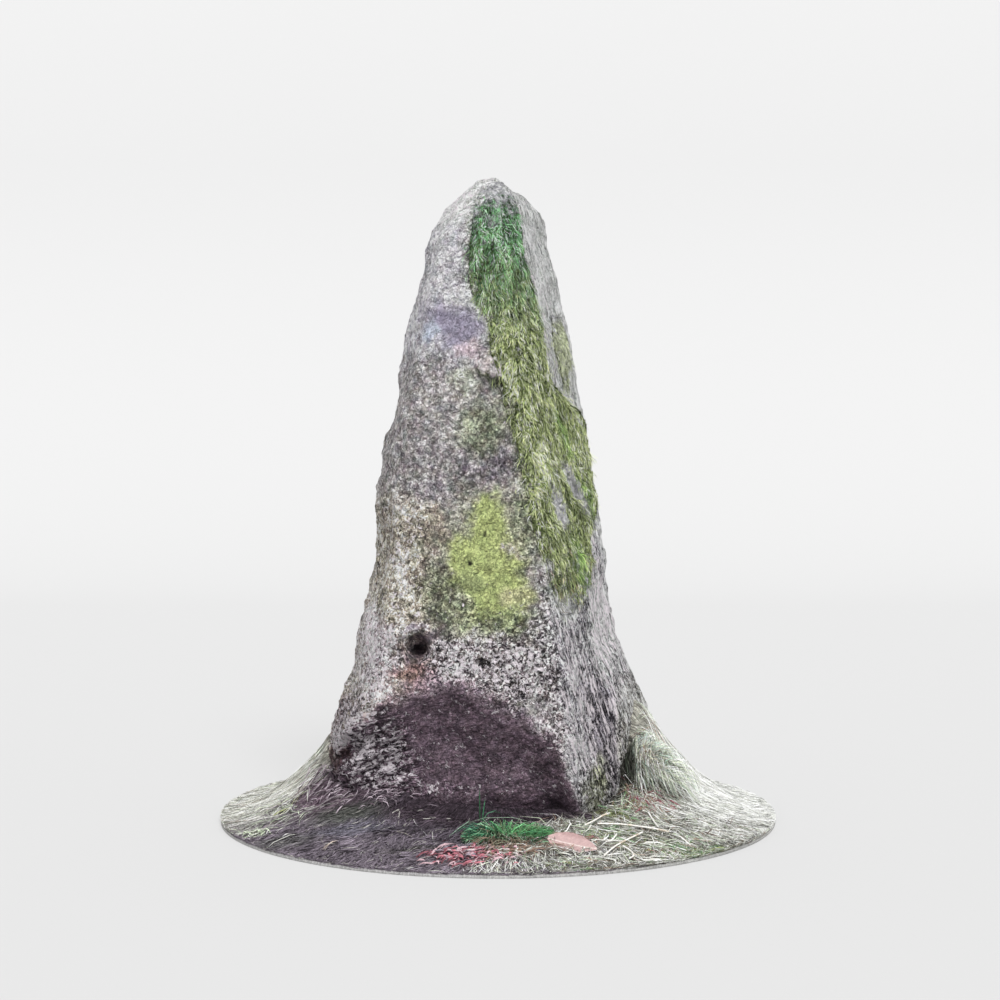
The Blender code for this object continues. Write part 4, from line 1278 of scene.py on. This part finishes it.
# Two tufts. The gaps between a tuft's locks grow with "gaps", its blades lean by "lean" and may pass
# its CAD form sideways by "reach", and "glow" lightens them: painted light on the right tuft, whose
# steep bank takes less light.
FRONT_TUFT = {
    "blades": 2000, "gaps": 2.0, "lean": (0.1, -0.1), "reach": 0.010, "glow": 1.0, "seed": 63,
    "colours": (TUFT_GREEN, TUFT_DEEP, TUFT_PALE, THATCH_BROWN), "shares": (0.32, 0.38, 0.12, 0.18),
    "shades": FRONT_SHADES,
}
RIGHT_TUFT = {
    "blades": 3200, "gaps": 1.8, "lean": (1.0, -0.6), "reach": 0.050, "glow": 1.35, "seed": 64,
    "colours": (GRASS_PALE, STRAW_PALE, TUFT_DEEP, TUSSOCK_TEAL, STRAW_DARK),
    "shares": (0.30, 0.42, 0.05, 0.11, 0.12),
    "shades": BANK_SHADES,
}


def build_tuft(ground, node, name, blades, gaps, lean, reach, glow, seed, colours, shares, shades):
    """A tuft of fine blades that arc out of many roots, within its CAD form and over the ground near it."""
    rng = np.random.default_rng(seed)
    low, high = (np.array(corner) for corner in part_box(node))
    middle, half = (low + high) / 2, (high - low) / 2
    around = rng.uniform(-math.pi, math.pi, blades)
    out = np.sqrt(rng.random(blades)) * 0.9
    x = middle[0] + half[0] * out * np.cos(around)
    y = middle[1] + half[1] * out * np.sin(around)
    flat = np.stack((x, y, 0 * x), axis=-1)
    kept = rng.random(blades) < 0.60 + gaps * noise_at(flat, 0.016, seed + 20)
    x, y, around, out, flat = (values[kept] for values in (x, y, around, out, flat))
    count = len(x)
    turn = around + 1.5 * noise_at(flat, 0.03, seed) + rng.normal(0, 0.7, count)
    heading = np.stack((np.cos(turn), 0.7 * np.sin(turn)), axis=1) + np.array(lean)
    length = rng.uniform(0.25, 0.9, count) * max(half[0], half[1])
    full = np.sqrt(np.clip(1 - out**2, 0.1, 1))
    rise = rng.uniform(0.15, 1.0, count) * (high[2] - low[2]) * 0.6 * full
    root = ground.height(x, y)
    lines = np.empty((count, len(RIBBON_STEPS), 3))
    for i, t in enumerate(RIBBON_STEPS):
        px = np.clip(x + heading[:, 0] * length * t, low[0] - reach, high[0] + reach)
        py = np.clip(y + heading[:, 1] * length * t, low[1] - reach, high[1] + reach)
        floor = ground.height(px, py) + 0.002
        arc = root * (1 - t) + floor * t + rise * math.sin(math.pi * 0.8 * t)
        lines[:, i] = np.stack((px, py, np.clip(np.maximum(arc, floor), None, high[2] + 0.006)), axis=-1)
    lines[:, 0, 2] = root - ROOT_DEPTH
    across = flat_across(ground, lines, rng, 1.1)
    tints = palette_tints(rng, count, colours, shares, 0.30) * glow
    tints = shaded(tints, x, y, shades, rng)
    tints = tints * np.exp(0.5 * noise_at(flat, 0.015, seed))[:, None]
    mesh = ribbon_mesh(name, lines, across, rng.uniform(0.0008, 0.0017, count), tints)
    add_piece(name, mesh, blade_material(name + "_looks"), [node])


# ---- leaf, stalks, litter ----
STALK_LIFT = 0.008          # the stalks lie this much higher, on the blades
STALK_VOXEL = 0.0007
LEAF_VOXEL = 0.0010
LEAF_RIB = 0.0012           # half the width of its midrib
LEAF_VEINS = 0.0085         # from one side vein to the next


def build_leaf():
    """The fallen leaf with its midrib and side veins."""
    mesh = remeshed("fallen_leaf", LEAF_VOXEL, 4)
    points, normals = points_and_normals(mesh)
    middle = points.mean(axis=0)
    axis = np.linalg.svd(points - middle, full_matrices=False)[2]
    along = (points - middle) @ axis[0]
    aside = (points - middle) @ axis[1]
    rib = np.exp(-((aside / LEAF_RIB) ** 2))
    veins = rising(np.cos((along - 0.8 * np.abs(aside)) / LEAF_VEINS * 2 * math.pi), 0.80, 0.2)
    crinkle = 0.0006 * noise_at(points, 0.010, 81)
    set_points(mesh, points + normals * (crinkle + 0.0004 * rib)[:, None])
    edge = rising(np.abs(aside), 0.012, 0.008)
    colour = blend(np.tile(LEAF_PINK, (len(points), 1)), LEAF_EDGE, 0.7 * edge)
    colour = blend(colour, STALK_STRAW, 0.6 * rib)
    colour = blend(colour, LEAF_EDGE * 0.9, 0.35 * veins)
    set_colour(mesh, "tint", colour * (1 + 0.06 * noise_at(points, 0.008, 82))[:, None])
    add_piece("leaf_surface", mesh, blade_material("leaf_looks", 0.7, 0.5), ["fallen_leaf"])


def build_stalks():
    """The dry stalks, rounded, with darker nodes along them."""
    for node in sorted(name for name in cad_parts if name.startswith("dry_stalk")):
        mesh = remeshed(node, STALK_VOXEL, 3)
        points, normals = points_and_normals(mesh)
        joints = rising(noise_at(points, 0.016, 84, 1), 0.25, 0.2)
        set_points(mesh, points + normals * (0.0003 * joints)[:, None] + (0, 0, STALK_LIFT))
        colour = blend(np.tile(STALK_STRAW, (len(points), 1)), STALK_END, 0.7 * joints)
        set_colour(mesh, "tint", colour)
        add_piece(node + "_surface", mesh, blade_material(node + "_looks"), [node])


# Blades and straws given one by one: (root x, root y, bearing in degrees, length, height midway,
# height at the tip, width, colour).
SPRIGS = (
    (-0.034, -0.284, 100, 0.006, 0.034, 0.062, 0.0026, srgb(50, 88, 62)),
    (-0.030, -0.286, 60, 0.012, 0.022, 0.040, 0.0020, srgb(60, 118, 84)),
    (-0.034, -0.290, 15, 0.045, 0.016, 0.010, 0.0020, srgb(96, 160, 124)),
    (-0.077, -0.300, -6, 0.156, 0.016, 0.006, 0.0018, srgb(168, 196, 170)),
    (-0.050, -0.296, -4, 0.090, 0.022, 0.006, 0.0018, srgb(120, 170, 136)),
    (-0.034, -0.300, -127, 0.097, 0.012, 0.004, 0.0020, srgb(150, 184, 160)),
    (-0.020, -0.310, -140, 0.080, 0.010, 0.004, 0.0018, srgb(96, 150, 122)),
    (0.010, -0.330, -35, 0.075, 0.016, 0.004, 0.0018, srgb(140, 196, 140)),
    (0.030, -0.350, -28, 0.070, 0.014, 0.004, 0.0018, srgb(160, 206, 150)),
    (-0.381, -0.093, -110, 0.060, 0.010, 0.004, 0.0050, srgb(196, 206, 116)),
    (-0.385, -0.100, -118, 0.050, 0.010, 0.004, 0.0030, srgb(222, 226, 170)),
    (-0.400, -0.146, -157, 0.050, 0.006, 0.003, 0.0050, srgb(206, 214, 146)),
    (-0.395, -0.150, -150, 0.045, 0.006, 0.003, 0.0030, srgb(226, 230, 196)),
    (-0.324, -0.400, 25, 0.036, 0.006, 0.008, 0.0026, srgb(206, 190, 178)),
    (-0.318, -0.412, 48, 0.030, 0.008, 0.012, 0.0022, srgb(222, 208, 196)),
    (-0.325, -0.396, 4, 0.030, 0.006, 0.006, 0.0022, srgb(206, 190, 178)),
    (-0.206, -0.332, -44, 0.072, 0.004, 0.004, 0.0028, srgb(190, 184, 170)),
)


def build_sprigs(ground):
    """The few blades, twigs and straws that stand out from the rest of the ground."""
    rng = np.random.default_rng(75)
    x, y, bearing, length, middle, tip, width = np.array([sprig[:7] for sprig in SPRIGS]).T
    turn = np.radians(bearing)
    lines = np.empty((len(SPRIGS), len(RIBBON_STEPS), 3))
    for i, t in enumerate(RIBBON_STEPS):
        px = x + np.cos(turn) * length * t
        py = y + np.sin(turn) * length * t
        arc = 4 * t * (1 - t) * (middle - tip / 2) + tip * t
        lines[:, i] = np.stack((px, py, ground.height(px, py) + arc + 0.002), axis=-1)
    lines[:, 0, 2] -= 0.004
    tints = np.array([sprig[7] for sprig in SPRIGS])
    across = flat_across(ground, lines, rng, 0.3)
    across[:2] = (1, 0, 0)      # the two tall blades face the front
    mesh = ribbon_mesh("sprigs", lines, across, width, tints)
    add_piece("sprigs", mesh, blade_material("sprig_looks"))


# Beds of litter: (count, middle, spread, bearing and its spread, lengths, width, colours, shares).
LITTER = (
    (330, (-0.055, -0.475), (0.036, 0.026), (0.1, 0.4), (0.012, 0.034), 0.0042,
     (LITTER_RED * 0.95, LITTER_RED * 0.65, LITTER_PINK * 1.05, SOIL_GREY * 1.2), (0.26, 0.16, 0.34, 0.24)),
    (300, (0.030, -0.455), (0.035, 0.012), (0.0, 0.5), (0.015, 0.045), 0.0026,
     (THATCH_BROWN, STRAW_GREY, STRAW_DARK), (0.5, 0.3, 0.2)),
    (130, (0.110, -0.395), (0.030, 0.012), (0.2, 0.8), (0.012, 0.035), 0.0034,
     (LITTER_RED * 0.5, THATCH_BROWN, LITTER_PINK * 0.8), (0.4, 0.4, 0.2)),
    (150, (0.285, -0.165), (0.025, 0.022), (-0.6, 0.7), (0.015, 0.040), 0.0022,
     (LITTER_RED * 0.5, THATCH_BROWN, STRAW_GREY), (0.35, 0.4, 0.25)),
    (90, (-0.415, -0.140), (0.018, 0.035), (-2.0, 0.25), (0.020, 0.055), 0.0022,
     (GRASS_PALE, STRAW_GREY, SOIL_GREY), (0.4, 0.3, 0.3)),
    (70, (-0.458, -0.255), (0.016, 0.012), (-2.4, 0.6), (0.010, 0.030), 0.0020,
     (GRASS_PALE, STRAW_PALE), (0.6, 0.4)),
    (300, (-0.325, -0.115), (0.034, 0.040), (0.35, 0.25), (0.012, 0.040), 0.0022,
     (FLAKE_PINK, HOLLOW_BROWN, SOIL_SHADE), (0.40, 0.30, 0.30)),
    (110, (-0.235, -0.190), (0.034, 0.014), (0.2, 0.25), (0.012, 0.035), 0.0022,
     (FLAKE_PINK, HOLLOW_BROWN, SOIL_SHADE), (0.40, 0.30, 0.30)),
    (90, (0.200, -0.430), (0.070, 0.035), (0.4, 1.2), (0.040, 0.100), 0.0027,
     (STRAW_PALE, STALK_STRAW), (0.7, 0.3)),
)


def build_litter(ground):
    """Red and pink shreds, brown thatch, straws, pale green blades and flakes off the stone."""
    rng = np.random.default_rng(73)
    lines, widths, tints = [], [], []
    for count, middle, spread, bearing, lengths, width, colours, shares in LITTER:
        x, y = (rng.normal(middle[i], spread[i], count) for i in range(2))
        inside = np.hypot(x, y) < TURF_RADIUS - LITTER_MARGIN
        x, y = x[inside], y[inside]
        count = len(x)
        turn = rng.normal(*bearing, count)
        lines.append(lying_lines(ground, x, y, turn, rng, lengths, 0.6, (0.001, 0.007), (0.002, 0.006)))
        widths.append(width * rng.uniform(0.7, 1.2, count))
        tints.append(palette_tints(rng, count, colours, shares, 0.15))
    lines, widths, tints = (np.concatenate(part) for part in (lines, widths, tints))
    mesh = ribbon_mesh("litter", lines, flat_across(ground, lines, rng, 0.6), widths, tints)
    add_piece("litter", mesh, blade_material("litter_looks"))


# ---- studio ----
def build_studio():
    """A pale floor that curves up behind, a soft sky and one large soft light."""
    bm = bmesh.new()
    profile = [(SWEEP_FRONT, 0.0), (SWEEP_DEPTH, 0.0)]
    for turn in np.linspace(0, math.pi / 2, SWEEP_STEPS + 1)[1:]:
        profile.append((SWEEP_DEPTH + SWEEP_CURVE * math.sin(turn), SWEEP_CURVE * (1 - math.cos(turn))))
    profile.append((SWEEP_DEPTH + SWEEP_CURVE, SWEEP_HEIGHT))
    left = [bm.verts.new((-SWEEP_WIDTH / 2, y, z)) for y, z in profile]
    right = [bm.verts.new((SWEEP_WIDTH / 2, y, z)) for y, z in profile]
    for i in range(len(profile) - 1):
        bm.faces.new((left[i], right[i], right[i + 1], left[i + 1]))
    mesh = bpy.data.meshes.new("studio_sweep")
    bm.to_mesh(mesh)
    bm.free()
    mesh.shade_smooth()
    shader = Shader("studio_paper", 1.0)
    shader.surface.inputs["Base Color"].default_value = (*srgb(*[PAPER_SCREEN_GREY] * 3), 1)
    shader.surface.inputs["Specular IOR Level"].default_value = 0.0
    height = shader.add("SeparateXYZ", _0=shader.place()).outputs[2]
    glow = shader.math("MULTIPLY_ADD", height, PAPER_GLOW_TO_METRE, PAPER_GLOW)
    shader.put(glow, shader.surface.inputs["Emission Strength"])
    shader.surface.inputs["Emission Color"].default_value = (1, 1, 1, 1)
    mesh.materials.append(shader.material)
    sweep = bpy.data.objects.new("studio_sweep", mesh)
    bpy.context.scene.collection.objects.link(sweep)

    world = bpy.data.worlds.new("studio_sky")
    bpy.context.scene.world = world
    world.use_nodes = True
    sky = world.node_tree.nodes["Background"]
    sky.inputs["Color"].default_value = (1, 1, 1, 1)
    sky.inputs["Strength"].default_value = SKY_STRENGTH

    key = bpy.data.lights.new("key", "SUN")
    key.energy = KEY_STRENGTH
    key.angle = math.radians(KEY_SPREAD)
    lamp = bpy.data.objects.new("key", key)
    lamp.rotation_euler = [math.radians(turn) for turn in KEY_TURN]
    bpy.context.scene.collection.objects.link(lamp)
    bpy.context.scene.view_settings.view_transform = "Standard"


def build_camera():
    camera = bpy.data.cameras.new("camera")
    camera.lens = CAMERA_LENS
    camera.sensor_width = CAMERA_SENSOR
    camera_object = bpy.data.objects.new("camera", camera)
    camera_object.location = CAMERA_AT
    camera_object.rotation_euler = (math.radians(90 - CAMERA_PITCH), 0, 0)
    bpy.context.scene.collection.objects.link(camera_object)
    bpy.context.scene.camera = camera_object


def main():
    build_camera()
    build_studio()
    stone_tree = surface_tree(build_stone())
    build_moss("moss_curtain", "curtain", 52000, 0.0, 61, stone_tree)
    build_moss("moss_strip", "strip", 1600, 0.5, 62, stone_tree)
    ground = Ground()
    ground.roughen()
    build_turf(ground)
    build_combed(ground, stone_tree)
    build_tangle(ground, stone_tree)
    build_fibres(ground, stone_tree)
    build_tuft(ground, "grass_tuft_front", "front_tuft", **FRONT_TUFT)
    build_tuft(ground, "grass_tuft_right", "right_tuft", **RIGHT_TUFT)
    build_leaf()
    build_stalks()
    build_sprigs(ground)
    build_litter(ground)


main()
